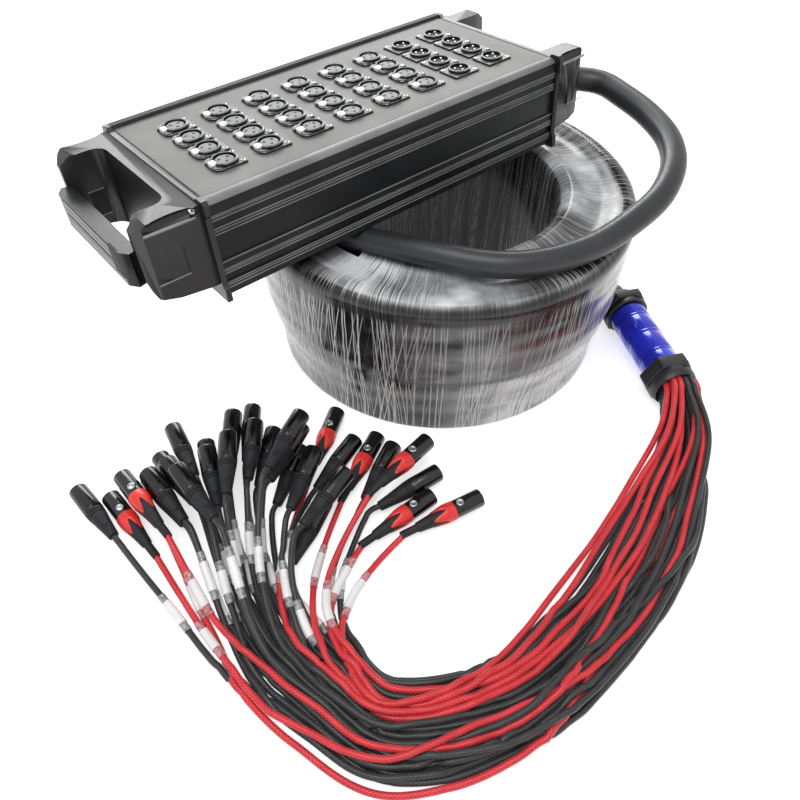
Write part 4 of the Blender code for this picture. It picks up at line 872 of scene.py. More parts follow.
def makeTails():
    sendMesh, returnMesh = sendPlugBody(), returnPlugBody()
    returns = 0
    for number, (row, path) in enumerate(zip(plugs, tailPaths), start=1):
        end, heading = plugEnd(row)
        red = row[5]
        replaced = "send_tails"
        if red:
            returns += 1
            replaced = "return_cable_{}".format(returns)
            latchNode = "return_latch_{}".format(returns)
            tip = plug["returnRadius"] + plug["latchProud"]
            spot = end + heading * (plug["length"] - plug["latchFromTip"]) + Vector((0, 0, tip))
            radius = plug["latchRadius"]
            dome = [(0.0, -plug["latchHeight"]), (radius, -plug["latchHeight"]), (radius, -0.0009),
                    (radius - 0.0004, -0.0002), (radius - 0.0011, 0.0), (radius - 0.0015, -0.0002),
                    (0.0, -0.0005)]
            button = moved(turnedBody(dome, 32), Matrix.Translation(spot))
            finishPiece("plug_latch_{}".format(returns), button, ["nickelPlate"],
                                      latchNode, (latchNode,), 50)
        body = bmesh.new()
        stamp(body, returnMesh if red else sendMesh, frameAlong(end, heading))
        finishPiece("plug_{:02d}".format(number), body, plugLooks,
                                  replaced=(replaced,))
        labelPiece("label_{:02d}".format(number), path[::-1], row[6], 0.050, red)
        mesh = cordMesh("tail_{:02d}".format(number), path, tail["od"] / 2, 10)
        piece = finishObject("tail_{:02d}".format(number), mesh, ["braidRed" if red else "braidBlack"],
                             replaced=(replaced,), smooth=60)


makeTails()
print("tails, plugs and labels made")


# Breakout: inlet nut, sleeve, outlet nut and the sealing disc
breakout = {"inletStart": 0.058, "domeEnd": 0.070, "inletEnd": 0.088, "sleeveStart": 0.0883,
            "sleeveEnd": 0.1813, "outletStart": 0.1816, "flats": 0.052, "sleeveRadius": 0.0215,
            "mouth": 0.0238, "bore": 0.0133, "hexLength": 0.0165}


def hexagonBody(flats, low, high, rounding=0.0012):
    corners = arc((0, 0), flats / math.sqrt(3), 90, 390, 5)
    return roundEdges(prismBody(corners, low, high), rounding, 3)


def breakoutPiece(name, bodies, looks, node):
    place = frameAlong(breakoutPlace(0), breakoutDirection)
    finishPiece(name, moved(joinBodies(bodies), place), looks, replaced=(node,))


def makeBreakout():
    flats, half = breakout["flats"], breakout["flats"] / 2
    bore, mouth, radius = breakout["bore"], breakout["mouth"], breakout["sleeveRadius"]
    start, rim, end = breakout["inletStart"], breakout["domeEnd"], breakout["inletEnd"]
    dome = [(bore, start + 0.004), (bore, start), (bore + 0.0022, start - 0.0002),
            (bore + 0.0050, start + 0.0012), (half - 0.0062, start + 0.0052), (half - 0.0028, start + 0.0088),
            (half - 0.0012, rim - 0.0005), (half - 0.0010, rim + 0.0012)]
    collar = [(half - 0.0012, rim + 0.0100), (half - 0.0009, rim + 0.0106), (half - 0.0009, end - 0.0010),
              (half - 0.0020, end), (radius - 0.003, end)]
    inlet = [(turnedBody(dome, 64), 0), (hexagonBody(flats, rim, rim + 0.0105), 0),
             (turnedBody(collar, 64), 0)]
    breakoutPiece("inlet_nut", inlet, ["mouldedNylon"], "breakout_inlet_nut")
    start, end = breakout["sleeveStart"], breakout["sleeveEnd"]
    profile = [(0.0185, start - 0.003), (0.0185, start), (radius - 0.0008, start), (radius, start + 0.0010)]
    # shallow turned rings where the crimp has drawn the sleeve in
    for ring in (0.17, 0.21, 0.47, 0.52, 0.80, 0.84):
        spot = start + (end - start) * ring
        profile += [(radius, spot - 0.0012), (radius - 0.0004, spot - 0.0004),
                    (radius - 0.0004, spot + 0.0004), (radius, spot + 0.0012)]
    profile += [(radius, end - 0.0010), (radius - 0.0008, end), (0.0185, end), (0.0185, end + 0.003)]
    sleeve = [(turnedBody(profile, 72), 0)]
    # scratches: short raised hair lines on the upper side
    for along, turn, length in ((0.32, 205, 0.010), (0.38, 212, 0.006), (0.60, 196, 0.008),
                                (0.72, 150, 0.007), (0.28, 158, 0.009), (0.55, 142, 0.006)):
        line = boxBody((radius - 0.0002, -0.00025, -length / 2), (radius + 0.00005, 0.00025, length / 2))
        sleeve.append((moved(line, turnedBy(turn, "Z") @ at(0, 0, start + (end - start) * along)), 1))
    breakoutPiece("blue_sleeve", sleeve, ["dyedSleeve", "sleeveScratch"], "breakout_sleeve")
    start, end, back = breakout["outletStart"], tail["nutEnd"], tail["discStart"]
    hexEnd = start + breakout["hexLength"]
    collar = [(mouth - 0.002, hexEnd - 0.001), (half - 0.0006, hexEnd - 0.001),
              (half - 0.0004, hexEnd + 0.0008), (half - 0.0005, end - 0.0052), (half - 0.0014, end - 0.0022),
              (half - 0.0026, end - 0.0004), (mouth - 0.0004, end), (mouth - 0.0010, end - 0.0012),
              (mouth - 0.0012, end - 0.0040), (mouth - 0.0012, back), (0.0, back)]
    outlet = [(hexagonBody(flats, start, hexEnd, 0.0016), 0), (turnedBody(collar, 64), 0)]
    breakoutPiece("outlet_nut", outlet, ["mouldedNylon"], "breakout_outlet_nut")
    disc = [(mouth - 0.0014, back + 0.0004), (mouth - 0.0014, end - 0.0070), (mouth - 0.0030, end - 0.0060),
            (0.0, end - 0.0060)]
    breakoutPiece("sealing_disc", [(turnedBody(disc), 0)], ["rubberBoot"], "send_tails")


makeBreakout()

# Film and the core of inner turns
film = {"reach": 0.0140, "sag": 0.0007, "steps": 240, "rows": 44, "hem": 0.0010, "flareStart": -52,
        "flareEnd": 96, "flareLift": 0.0275, "flareDegrees": 14, "valley": 0.0044, "wrinkle": 0.00018,
        "rimFrom": 0.158, "sideRadius": 0.165, "sideTop": 0.165, "topDepth": 0.012, "topInner": 0.126}


def filmProfile():
    # from the outer hem up the side, over the rim and valley, and down the bore
    reach = film["reach"]
    profile = []
    for index in range(film["rows"] + 1):
        height = film["hem"] + (coilTopZ - film["hem"]) * index / film["rows"]
        layer = min(max((height - coil["floorZ"]) / coil["pitch"], 0.0), 6.0)
        sag = film["sag"] * (0.5 - 0.5 * math.cos(2 * math.pi * layer))
        profile.append((columnRadius(layer) + reach - sag, height))
    profile += [(coil["topRadius"] + reach * math.cos(turn), coilTopZ + reach * math.sin(turn))
                for turn in [math.radians(9 * step) for step in range(1, 11)]]
    top = coilTopZ + reach
    middle = coil["topRadius"] - coil["columnStep"]
    inner = coil["topRadius"] - 2 * coil["columnStep"]
    profile += [(coil["topRadius"] - 0.0050, top - 0.0003), (coil["topRadius"] - 0.0100, top - 0.0018),
                (middle + 0.0110, top - 0.0035), (middle + 0.0055, top - film["valley"]),
                (middle, top - film["valley"] - 0.0002), (middle - 0.0055, top - film["valley"]),
                (middle - 0.0110, top - 0.0035), (inner + 0.0100, top - 0.0018),
                (inner + 0.0050, top - 0.0003)]
    profile += [(inner - reach * math.sin(turn), coilTopZ + reach * math.cos(turn))
                for turn in [math.radians(10 * step) for step in range(0, 10)]]
    bore = coil["coreInner"] - 0.0015
    profile += [(inner - reach + (bore - inner + reach) * share, coilTopZ + (film["hem"] - coilTopZ) * share)
                for share in [step / 24 for step in range(1, 25)]]
    return profile


def filmToneAndPaintedLight(radius, height, angle):
    # how milky the film is, from 0 where dark cable lies close behind it, with painted light and shade round
    # the coil in brighter and darker patches, how many pull lines it shows, and a painted red reflection of
    # the red tails
    top = coilTopZ + film["reach"]
    turn = math.degrees(angle) % 360

    def near(middle, width):
        return smoothstep(1.5 - abs((turn - middle + 180) % 360 - 180) / width)

    rise = math.degrees(math.atan2(height - coilTopZ, radius - coil["topRadius"]))
    if radius > coil["topRadius"] and rise < 60 or height < 0.150 and radius > 0.15:
        over = smoothstep((rise - 30) / 25)
        rim = smoothstep((height - film["rimFrom"]) / 0.007) * (1 - 0.75 * over * near(236, 40))
        lower = smoothstep((0.080 - height) / 0.004)
        # painted light and shade: brighter and darker patches round the coil, on the upper and the lower side
        toneAndLight = 0.13 + 0.20 * near(165, 20) + 0.10 * near(236, 14) + 0.42 * near(300, 26) + 0.25 * near(75, 60)
        toneAndLight -= 0.13 * near(200, 14) + 0.07 * near(264, 12)
        low = 0.24 + 0.14 * near(165, 24) + 0.50 * near(275, 32) + 0.3 * near(75, 60)
        low -= 0.2 * near(214, 16)
        toneAndLight += (low - toneAndLight) * lower
        # painted shade between the turns: a little darker between two turns, lighter over each
        toneAndLight += 0.05 * math.cos(2 * math.pi * (height - coil["floorZ"]) / coil["pitch"])
        toneAndLight += 0.35 * smoothstep((0.006 - height) / 0.004)
        line = math.exp(-((height - 0.082) / 0.0035) ** 2)
        # painted shadow of the run cable: darker just below the rim at the front
        under = 0.7 * math.exp(-((height - 0.142) / 0.006) ** 2) * near(225, 50)
        toneAndLight = max(toneAndLight, 0.012) * (1 - 0.9 * line) * (1 - under)
        # painted light: more pale lines where the film glints, set by angle round the coil
        lines = 0.36 + 0.5 * near(168, 26) + 0.4 * near(200, 14) + 0.35 * near(300, 30) + 0.3 * lower
        # painted reflection: a red tint where the red tails beside the coil show in the glossy film
        redReflection = 0.22 * near(262, 14) * math.exp(-((height - 0.120) / 0.016) ** 2)
        redReflection += 0.40 * near(217, 4) * math.exp(-((height - 0.060) / 0.008) ** 2)
        if height > film["rimFrom"]:
            toneAndLight += 0.30 * near(236, 40) * over
        lines = min(lines, 1.0) * (1 - 0.6 * line)
        return toneAndLight + (0.03 - toneAndLight) * rim, lines * (1 - 0.88 * rim), redReflection * (1 - rim)
    if height > top - film["topDepth"] and radius > film["topInner"]:
        patch = noise.noise(Vector((math.cos(angle) * 2.6, math.sin(angle) * 2.6, radius * 22)))
        front = near(226, 30)
        ridge = 0.45 * math.exp(-((radius - coil["topRadius"] + coil["columnStep"] * 0.55) / 0.0035) ** 2)
        edge = smoothstep((coil["topRadius"] - 0.005 - radius) / 0.006) * (1 - front) + front
        # painted light: highlights on the valley where it reflects the lamp behind, and a painted shadow of
        # the run cable at 264 degrees
        light = 0.42 * near(196, 14) + 0.12 * front - 0.28 * near(264, 14) + 0.22 * near(318, 22)
        toneAndLight = (0.42 + light + 0.55 * patch - ridge * (1 - front)) * edge
        # in the deep shade under the box and beside the run
        shade = near(172, 18)
        if radius < 0.152:
            shade = max(shade, 0.95 * near(205, 22))
        lines = 0.45 + 0.35 * near(206, 10) - 0.35 * near(240, 14)
        return min(max(toneAndLight * (1 - 0.95 * shade), 0.02), 1.0), lines * (1 - 0.8 * shade), 0.0
    return 0.045, 0.6, 0.0


def makeFilm():
    bm = turnedBody(filmProfile(), film["steps"])
    top = coilTopZ
    names = ("filmToneAndLight", "filmLines", "filmRedReflection")
    tonesAndLight, densities, redReflections = [bm.verts.layers.float.new(name) for name in names]
    layer = bm.loops.layers.uv.new("roundFilm")

    def uncovered(vert):
        # over the cable's end, where the multicore rises out of the bore
        degrees = math.degrees(math.atan2(vert.co.y, vert.co.x)) % 360
        return 104 < degrees < 197 and math.hypot(vert.co.x, vert.co.y) < 0.157 and vert.co.z > top - 0.015

    doomed = [face for face in bm.faces if all(uncovered(vert) for vert in face.verts)]
    bmesh.ops.delete(bm, geom=doomed, context="FACES")
    outer = coil["topRadius"] + film["reach"]
    for face in bm.faces:
        angles = [math.atan2(loop.vert.co.y, loop.vert.co.x) for loop in face.loops]
        wraps = max(angles) - min(angles) > math.pi
        for loop, angle in zip(face.loops, angles):
            radius = math.hypot(loop.vert.co.x, loop.vert.co.y)
            height = loop.vert.co.z
            if radius > coil["topRadius"] or height < 0.14 and radius > 0.15:
                along = height
            elif height > top - 0.001:
                along = top + outer - radius
            else:
                along = top + outer - radius + top - height
            turn = angle + (2 * math.pi if wraps and angle < 0 else 0)
            loop[layer].uv = (turn * 0.19, along)
    for vert in bm.verts:
        angle = math.atan2(vert.co.y, vert.co.x)
        radius = math.hypot(vert.co.x, vert.co.y)
        vert[tonesAndLight], vert[densities], vert[redReflections] = filmToneAndPaintedLight(radius, vert.co.z, angle)
        # fine pull wrinkles, straighter up the side than over the top
        wrinkle = noise.noise(Vector((angle * 42, vert.co.z * 9, 0.3))) * film["wrinkle"]
        wrinkle += noise.noise(Vector((angle * 9, vert.co.z * 14, 4.1))) * film["wrinkle"] * 1.3
        if radius > film["sideRadius"] and vert.co.z < film["sideTop"]:
            vert.co.x *= 1 + wrinkle / radius
            vert.co.y *= 1 + wrinkle / radius
            # the hem lifts over the cable that leaves for the breakout
            degrees = math.degrees(angle)
            lift = smoothstep((degrees - film["flareStart"]) / film["flareDegrees"])
            lift *= smoothstep((film["flareEnd"] - degrees) / film["flareDegrees"])
            hem = film["hem"] + film["flareLift"] * lift
            share = (vert.co.z - film["hem"]) / (film["sideTop"] - film["hem"])
            vert.co.z = hem + share * (film["sideTop"] - hem)
        elif vert.co.z > top - film["topDepth"] and radius > film["topInner"]:
            vert.co.z += noise.noise(Vector((vert.co.x * 60, vert.co.y * 60, 2.0))) * film["wrinkle"] * 1.6
    finishPiece("stretch_film", moved(bm, Matrix.Translation(coilCentre)), ["stretchFilm"],
                replaced=("film_wrap",), smooth=60)


def makeCore():
    # inner turns under the outer layer: a ring with a bead for each turn, seen only down the bore
    bore = coil["coreInner"]
    gap = coil["cableOd"] / 2 + 0.0015
    top = coilTopZ - coil["cableOd"] / 2 - coil["valleyDip"]
    profile = [(columnRadius(0) - gap, 0.0), (columnRadius(2) - gap, coil["floorZ"] + 2 * coil["pitch"]),
               (columnRadius(5) - gap, top)]
    beads = 6
    for bead in range(beads):
        middle = top * (1 - (bead + 0.5) / beads)
        half = top / beads / 2
        for turn in (75, 45, 15, -15, -45, -75):
            angle = math.radians(turn)
            profile.append((bore + 0.004 * (1 - math.cos(angle)), middle + half * math.sin(angle)))
    profile.append((bore + 0.003, 0.0))
    finishPiece("inner_turns", moved(turnedBody(profile, 96, closed=True), Matrix.Translation(coilCentre)),
                ["pvcJacket"], replaced=("coil_core",))


makeCore()
makeFilm()
print("breakout, core and film made")

# Stage box: made in its own frame, level with the socket panel, then placed
box = {"length": 0.400, "width": 0.190, "shift": 0.002, "edge": 0.008, "margin": 0.010, "panel": 0.003,
       "rail": 0.003, "panelLength": 0.3985, "gap": 0.0003}
# middles of the small ribs along both sides, from the bottom up; they are painted pale as painted highlights
sideRibs = (-0.0825, -0.0796, -0.0773, -0.0680, -0.0655, -0.0636, -0.0568, -0.0303, -0.0275, -0.0251, -0.0175,
            -0.0150, -0.0134)


def boxSide():
    # the extrusion's side from the bottom edge up: distance in from the side, and height
    steps = [(-0.0885, 0.0), (-0.0765, 0.0022), (-0.0690, 0.0), (-0.0625, 0.0003), (-0.0560, 0.0022),
             (-0.0310, 0.0008), (-0.0242, 0.0010), (-0.0182, 0.0006), (-0.0125, 0.0)]
    side = [(0.006, -0.090), (0.0025, -0.0893), (0.0008, -0.0886)]
    for (low, inset), (high, _) in zip(steps, steps[1:] + [(-0.0085, 0.0)]):
        side.append((inset, low))
        for rib in sideRibs:
            if low < rib < high:
                side += [(inset + 0.0006, rib - 0.0008), (0.0, rib - 0.0005), (0.0, rib + 0.0003),
                         (inset + 0.0006, rib + 0.0006)]
        side.append((inset, high - 0.0003))
    return side


def makeHousing():
    half = box["width"] / 2
    bed = half - box["margin"]
    rounding = arc((-half + box["edge"], -box["edge"]), box["edge"], 180, 90, 12)
    near = [(-half + inset, height) for inset, height in boxSide()] + rounding
    near += [(-bed, 0.0), (-bed, -box["panel"] - box["gap"])]
    raised = [(x, y + box["rail"] if y > -box["edge"] - 0.0001 else y) for x, y in near[:-1]] + near[-1:]
    # the far rail is flatter, with a small rounding
    corner = raised.index(min(raised, key=lambda spot: abs(spot[1] - (box["rail"] - box["edge"]))))
    far = [(-x, y) for x, y in raised[:corner]] + [
        (half, box["rail"] - 0.0025), (half - 0.0007, box["rail"] - 0.0007), (half - 0.0025, box["rail"])]
    far += [(bed, box["rail"]), (bed, -box["panel"] - box["gap"])]
    outline = [(x + box["shift"], y) for x, y in near + far[::-1]]
    bm = moved(prismBody(outline, -box["length"] / 2, box["length"] / 2), alongX)
    bm.normal_update()
    for face in bm.faces:
        centre = face.calc_center_median()
        # painted light: the rails' upward faces and the ribs take the pale finish as painted highlights
        rib = min(abs(centre.z - height) for height in sideRibs) < 0.0006 and abs(face.normal.x) < 0.5
        face.material_index = 1 if rib or centre.z > -0.008 and face.normal.z > 0.5 else 0
        # painted shade: the far rail's upper faces take the darker copy
        if centre.z > -0.0005 and centre.y > 0 and face.normal.z > -0.2:
            face.material_index = 2
    finishPiece("box_extrusion", moved(bm, boxPlace), ["anodisedExtrusion", "railTopsAndRibsLit", "farRailShaded"],
                replaced=("housing",), smooth=24)


makeHousing()

socket = {"columns": 8, "female": 6, "rows": 4, "columnPitch": 0.0445, "rowPitch": 0.030,
          "plateLength": 0.031, "plateWidth": 0.026, "plate": 0.0018, "corner": 0.007, "squareCorner": 0.0012,
          "femaleRadius": 0.012, "maleRadius": 0.011, "height": 0.0045, "latchEdge": -0.0150,
          "latchLength": 0.007, "latchWidth": 0.009, "pocket": 0.0017, "latchDepth": 0.0044, "gap": 0.0004}
socketLooks = ["blackZinc", "paleZincEdge", "insertNylon", "grooveShadow", "nickelPlate", "litZincTops"]


def socketPlaces():
    for column in range(socket["columns"]):
        for row in range(socket["rows"]):
            x = (column - (socket["columns"] - 1) / 2) * socket["columnPitch"]
            y = ((socket["rows"] - 1) / 2 - row) * socket["rowPitch"]
            yield column, row, x, y


def roundedOutline(halfX, halfY, radius, small, count):
    # an oblong with its corners towards -X rounded by the radius, and the others by a little
    outline = arc((halfX - small, -halfY + small), small, -90, 0, 3)
    outline += arc((halfX - small, halfY - small), small, 0, 90, 3)
    outline += arc((-halfX + radius, halfY - radius), radius, 90, 180, count)
    return outline + arc((-halfX + radius, -halfY + radius), radius, 180, 270, count)


def plateOutline(radius, grow=0.0):
    halfX, halfY = socket["plateLength"] / 2 + grow, socket["plateWidth"] / 2 + grow
    return roundedOutline(halfX, halfY, radius, socket["squareCorner"], 8)


def plateBody(radius):
    # a plate whose upper edge is a fine pale bevel, and whose top takes the paler mottled copy of the zinc,
    # painted light
    bm = prismBody(plateOutline(radius), -0.0002, socket["plate"])
    for face in roundRim(bm, socket["plate"], 0.0004, 1):
        face.material_index = 1
    bm.normal_update()
    for face in bm.faces:
        if face.normal.z > 0.99:
            face.material_index = 5
    return bm


def latchCutter():
    edge = socket["latchEdge"]
    gap = socket["gap"]
    half = socket["latchWidth"] / 2 + gap
    return boxBody((edge - gap, -half, -socket["pocket"]), (edge + socket["latchLength"] + gap, half, 0.008))


def screwBody(x, y, top, head=4, cross=3):
    # a domed screw with a cross in its head, the cross near black: painted shade in the slot
    dome = [(0.0023, top - 0.0004), (0.0023, top), (0.0019, top + 0.0006), (0.0009, top + 0.0008),
            (0.0, top + 0.0004)]
    bodies = [(turnedBody(dome, 16), head)]
    for halfX, halfY in ((0.0013, 0.0002), (0.0002, 0.0013)):
        bodies.append((boxBody((-halfX, -halfY, top + 0.0002), (halfX, halfY, top + 0.00085)), cross))
    return moved(joinBodies(bodies), at(x, y) @ Matrix.Rotation(0.6 + x * 40, 4, "Z"))


def femaleSocketBody():
    plate = cutBody(plateBody(socket["corner"]), latchCutter())
    radius, top = socket["femaleRadius"], socket["height"]
    ring = [(radius, 0.0004), (radius, top - 0.0006), (radius - 0.0005, top - 0.0001), (radius - 0.0010, top),
            (radius - 0.0019, top), (radius - 0.0024, top - 0.0005), (radius - 0.0024, 0.0010)]
    ringBody = cutBody(turnedBody(ring, 56, closed=True), latchCutter())
    chamfer = [(radius + 0.0001, top - 0.0009), (radius - 0.0003, top - 0.0001),
               (radius - 0.0008, top + 0.0001), (radius - 0.0008, top - 0.0009)]
    chamferBody = cutBody(turnedBody(chamfer, 56, closed=True), latchCutter())
    insert = [(0.0, top - 0.0012), (0.0078, top - 0.0012), (0.0082, top - 0.0015), (0.0083, 0.0004),
              (0.0, 0.0004)]
    insertBody = turnedBody(insert, 40)
    # the insert's keyway is a flat point towards the latch
    for vert in insertBody.verts:
        if vert.co.x < -0.0060:
            vert.co.x -= 0.0006 * (1 - abs(vert.co.y) / 0.0060)
    # a near-black disc under the insert and near-black holes: painted shade in the gap round the insert and
    # in the holes
    parts = [(plate, None), (ringBody, 0), (chamferBody, 1), (insertBody, 2),
             (turnedBody([(0.0096, 0.0012), (0.0, 0.0012)], 40), 3)]
    hole = [(0.0, top - 0.0014), (0.0013, top - 0.0014), (0.0014, top - 0.00105), (0.0, top - 0.00105)]
    for x, y in contactPlaces(0.0046):
        parts.append((moved(turnedBody(hole, 16), at(x, y)), 3))
    # a raised crescent round the ring on the latch side, in the plates' paler top finish of painted light
    crescent = plateOutline(socket["corner"] - 0.0005, -0.0007)
    crescentBody = prismBody(crescent, socket["plate"] - 0.0004, socket["plate"] + 0.0008)
    whole = crescentBody.verts[:] + crescentBody.edges[:] + crescentBody.faces[:]
    bmesh.ops.bisect_plane(crescentBody, geom=whole, plane_co=(-0.0080, 0, 0), plane_no=(1, 0, 0),
                           clear_outer=True)
    bmesh.ops.holes_fill(crescentBody, edges=crescentBody.edges)
    around = radius + 0.0002
    ringCut = turnedBody([(0.0, -0.001), (around, -0.001), (around, 0.008), (0.0, 0.008)], 56)
    parts.append((cutBody(cutBody(cleaned(crescentBody), ringCut), latchCutter()), 5))
    for y in (0.0098, -0.0098):
        parts.append((screwBody(0.0123, y, socket["plate"]), None))
    return keepBody(joinBodies(parts), None)


def maleSocketBody():
    radius, top = socket["maleRadius"], socket["height"]
    ring = [(radius, 0.0004), (radius, top - 0.0006), (radius - 0.0006, top), (radius - 0.0017, top),
            (radius - 0.0022, top - 0.0005), (radius - 0.0022, 0.0020)]
    chamfer = [(radius + 0.0001, top - 0.0009), (radius - 0.0004, top), (radius - 0.0009, top + 0.0001),
               (radius - 0.0009, top - 0.0009)]
    bowl = [(radius - 0.0023, 0.0021), (0.0, 0.0021)]
    pin = [(0.0012, 0.0018), (0.0012, top - 0.0012), (0.0009, top - 0.0006), (0.0, top - 0.0004)]
    # the bowl inside the ring is near black: painted shade
    parts = [(plateBody(socket["squareCorner"]), None), (turnedBody(ring, 56, closed=True), 0),
             (turnedBody(chamfer, 56, closed=True), 1), (turnedBody(bowl, 40), 3)]
    for x, y in contactPlaces(0.0046):
        parts.append((moved(turnedBody(pin, 14), at(x, y)), 4))
    # keyway rib at the latch side
    parts.append((boxBody((-radius + 0.0018, -0.0011, 0.0018), (-radius + 0.0034, 0.0011, top - 0.0008)), 0))
    for x, y in ((-0.0123, 0.0098), (0.0123, -0.0098)):
        parts.append((screwBody(x, y, socket["plate"]), None))
    return keepBody(joinBodies(parts), None)


def latchBody():
    # push tab: rounded outside end, crowned top and a finger dip
    outline = roundedOutline(socket["latchLength"] / 2, socket["latchWidth"] / 2, 0.0030, 0.0008, 5)
    # begun at the rounded end, past the eight points of the small corners: the crown's faces fan out from it
    bm = prismBody(outline[8:] + outline[:8], -socket["latchDepth"], -0.0004)
    roundRim(bm, -0.0004, 0.0011, 4)
    top = [face for face in bm.faces if face.calc_center_median().z > -0.00041 and face.normal.z > 0.9]
    bmesh.ops.inset_region(bm, faces=top, thickness=0.0006, depth=0.0)
    bmesh.ops.translate(bm, vec=(0, 0, 0.0004), verts=list({vert for face in top for vert in face.verts}))
    return keepBody(bm)


def makePanel():
    halfX = box["panelLength"] / 2
    halfY = box["width"] / 2 - box["margin"] - box["gap"]
    near, far = box["shift"] - halfY, box["shift"] + halfY
    sheet = roundEdges(boxBody((-halfX, near, -box["panel"]), (halfX, far, 0.0)), 0.0003, 1)
    cutter = bmesh.new()
    pocket = keepBody(latchCutter())
    for column, row, x, y in socketPlaces():
        if column < socket["female"]:
            stamp(cutter, pocket, at(x, y))
    finishPiece("panel_sheet", moved(cutBody(sheet, cutter), boxPlace), ["blastedPanel"],
                replaced=("socket_panel",))
    females, males = bmesh.new(), bmesh.new()
    femaleMesh, maleMesh, latchMesh = femaleSocketBody(), maleSocketBody(), latchBody()
    for column, row, x, y in socketPlaces():
        place = boxPlace @ at(x, y)
        if column >= socket["female"]:
            stamp(males, maleMesh, place)
            continue
        stamp(females, femaleMesh, place)
        name = "latch_{}_{}".format(column + 1, row + 1)
        tab = bmesh.new()
        middle = socket["latchEdge"] + socket["latchLength"] / 2
        stamp(tab, latchMesh, place @ at(middle, 0, socket["height"]))
        finishPiece("push_tab_{}_{}".format(column + 1, row + 1), tab, ["satinChrome"], name,
                    (name,), 40)
    finishPiece("female_sockets", females, socketLooks, replaced=("socket_panel",))
    finishPiece("male_sockets", males, socketLooks, replaced=("socket_panel",))
    # dark joints: along the far rail and across the panel's ends
    seams = [(boxBody((-halfX, far - 0.0009, -0.002), (halfX, far + 0.0006, 0.0002)), 0)]
    for x in (-halfX, halfX):
        seams.append((boxBody((x - 0.0007, near, -0.001), (x + 0.0007, far, 0.0002)), 0))
    finishPiece("panel_joints", moved(joinBodies(seams), boxPlace), ["grooveShadow"],
                replaced=("socket_panel",))


makePanel()
print("housing, panel and sockets made")


# End caps: the CAD moulding with rounded edges, and the details of its surface
def refinedNode(node):
    # the CAD's solid with its flat faces in one piece each
    bm = bmesh.new()
    bm.from_mesh(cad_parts[node].data)
    bmesh.ops.remove_doubles(bm, verts=bm.verts, dist=0.00002)
    bmesh.ops.dissolve_limit(bm, angle_limit=math.radians(1.5), verts=bm.verts, edges=bm.edges)
    return bm


def bevelled(piece, width, segments, angle=28):
    modifier = piece.modifiers.new("rounding", "BEVEL")
    modifier.width = width
    modifier.segments = segments
    modifier.limit_method = "ANGLE"
    modifier.angle_limit = math.radians(angle)
    modifier.harden_normals = False
    modifier.use_clamp_overlap = True


cap = {"outside": 0.2053, "armOuter": 0.090, "armInner": 0.065, "armTop": -0.001, "tip": 0.2603,
       "barFront": 0.2713, "barTop": -0.028, "barBottom": -0.060}


def dishBody(x, y, z, length, width, depth):
    # an oval bowl for cutting a dished slot
    bm = bmesh.new()
    bmesh.ops.create_uvsphere(bm, u_segments=32, v_segments=16, radius=1.0)
    bmesh.ops.scale(bm, vec=(length / 2, width / 2, depth), verts=bm.verts)
    bmesh.ops.translate(bm, vec=(x, y, z), verts=bm.verts)
    return bm


def makeCap(name, node, side, tip):
    # side is -1 for the handle's end and 1 for the cable's end
    bm = refinedNode(node)
    cutter = bmesh.new()
    for arm in (-1, 1):
        middle = side * (cap["outside"] + (tip - cap["outside"]) * 0.46)
        dish = dishBody(middle, arm * 0.0900, cap["armTop"] - 0.0035, 0.050, 0.0120, 0.0056)
        stamp(cutter, keepBody(moved(dish, boxPlace)))
    piece = finishPiece(name, cutBody(bm, cutter), ["mouldedAbs"], replaced=(node,), smooth=32)
    bevelled(piece, 0.0016, 3)
    details = []
    for arm in (-1, 1):
        # screw at the flange end of the slot, facing up and out
        spot = at(side * (cap["outside"] + 0.0060), arm * 0.0878, cap["armTop"] - 0.0036)
        screw = screwBody(0, 0, 0, head=1, cross=0)
        details.append((moved(screw, spot @ turnedBy(-45 * arm, "X") @ Matrix.Scale(1.45, 4)), None))
        # pale lip under the slot
        edge = arm * (cap["armOuter"] - 0.0006)
        low = Vector((side * (cap["outside"] + 0.0045), edge, cap["armTop"] - 0.0092))
        high = Vector((side * (tip - 0.0050), edge, cap["armTop"] - 0.0084))
        length = (high - low).length
        lip = [(0.0, 0.0), (0.0009, 0.0004), (0.0013, 0.0016), (0.0014, length / 2),
               (0.0013, length - 0.0016), (0.0008, length - 0.0004), (0.0, length)]
        details.append((moved(turnedBody(lip, 14), frameAlong(low, high - low)), 2))
        # cheek: an upright groove painted near black as painted shade, and a pale ledge from its foot to the
        # tip
        outer = arm * (cap["armOuter"] + 0.0001)
        for near, far, low, high, look in ((0.0210, 0.0222, -0.0545, -0.0300, 0),
                                           (0.0212, 0.0495, -0.0552, -0.0542, 2)):
            far = min(far, tip - cap["outside"] - 0.003)
            left, right = sorted(side * (cap["outside"] + end) for end in (near, far))
            details.append((boxBody((left, outer - 0.0004, low), (right, outer + 0.0002, high)), look))
    if side < 0:
        # recess inside the far arm: near black as painted shade, with a pale upper edge
        inner = cap["armInner"] + 0.0002
        for left, right, low, high, look in ((-0.2460, -0.2290, -0.0386, -0.0376, 2),
                                             (-0.2298, -0.2284, -0.0630, -0.0376, 0),
                                             (-0.2440, -0.2290, -0.0636, -0.0628, 2),
                                             (-0.2450, -0.2300, -0.0626, -0.0390, 0)):
            details.append((boxBody((left, inner - 0.0006, low), (right, inner + 0.0003, high)), look))
    finishPiece(name + "_details", moved(joinBodies(details), boxPlace),
                ["grooveShadow", "nickelPlate", "paleMouldingEdge"], replaced=(node,))


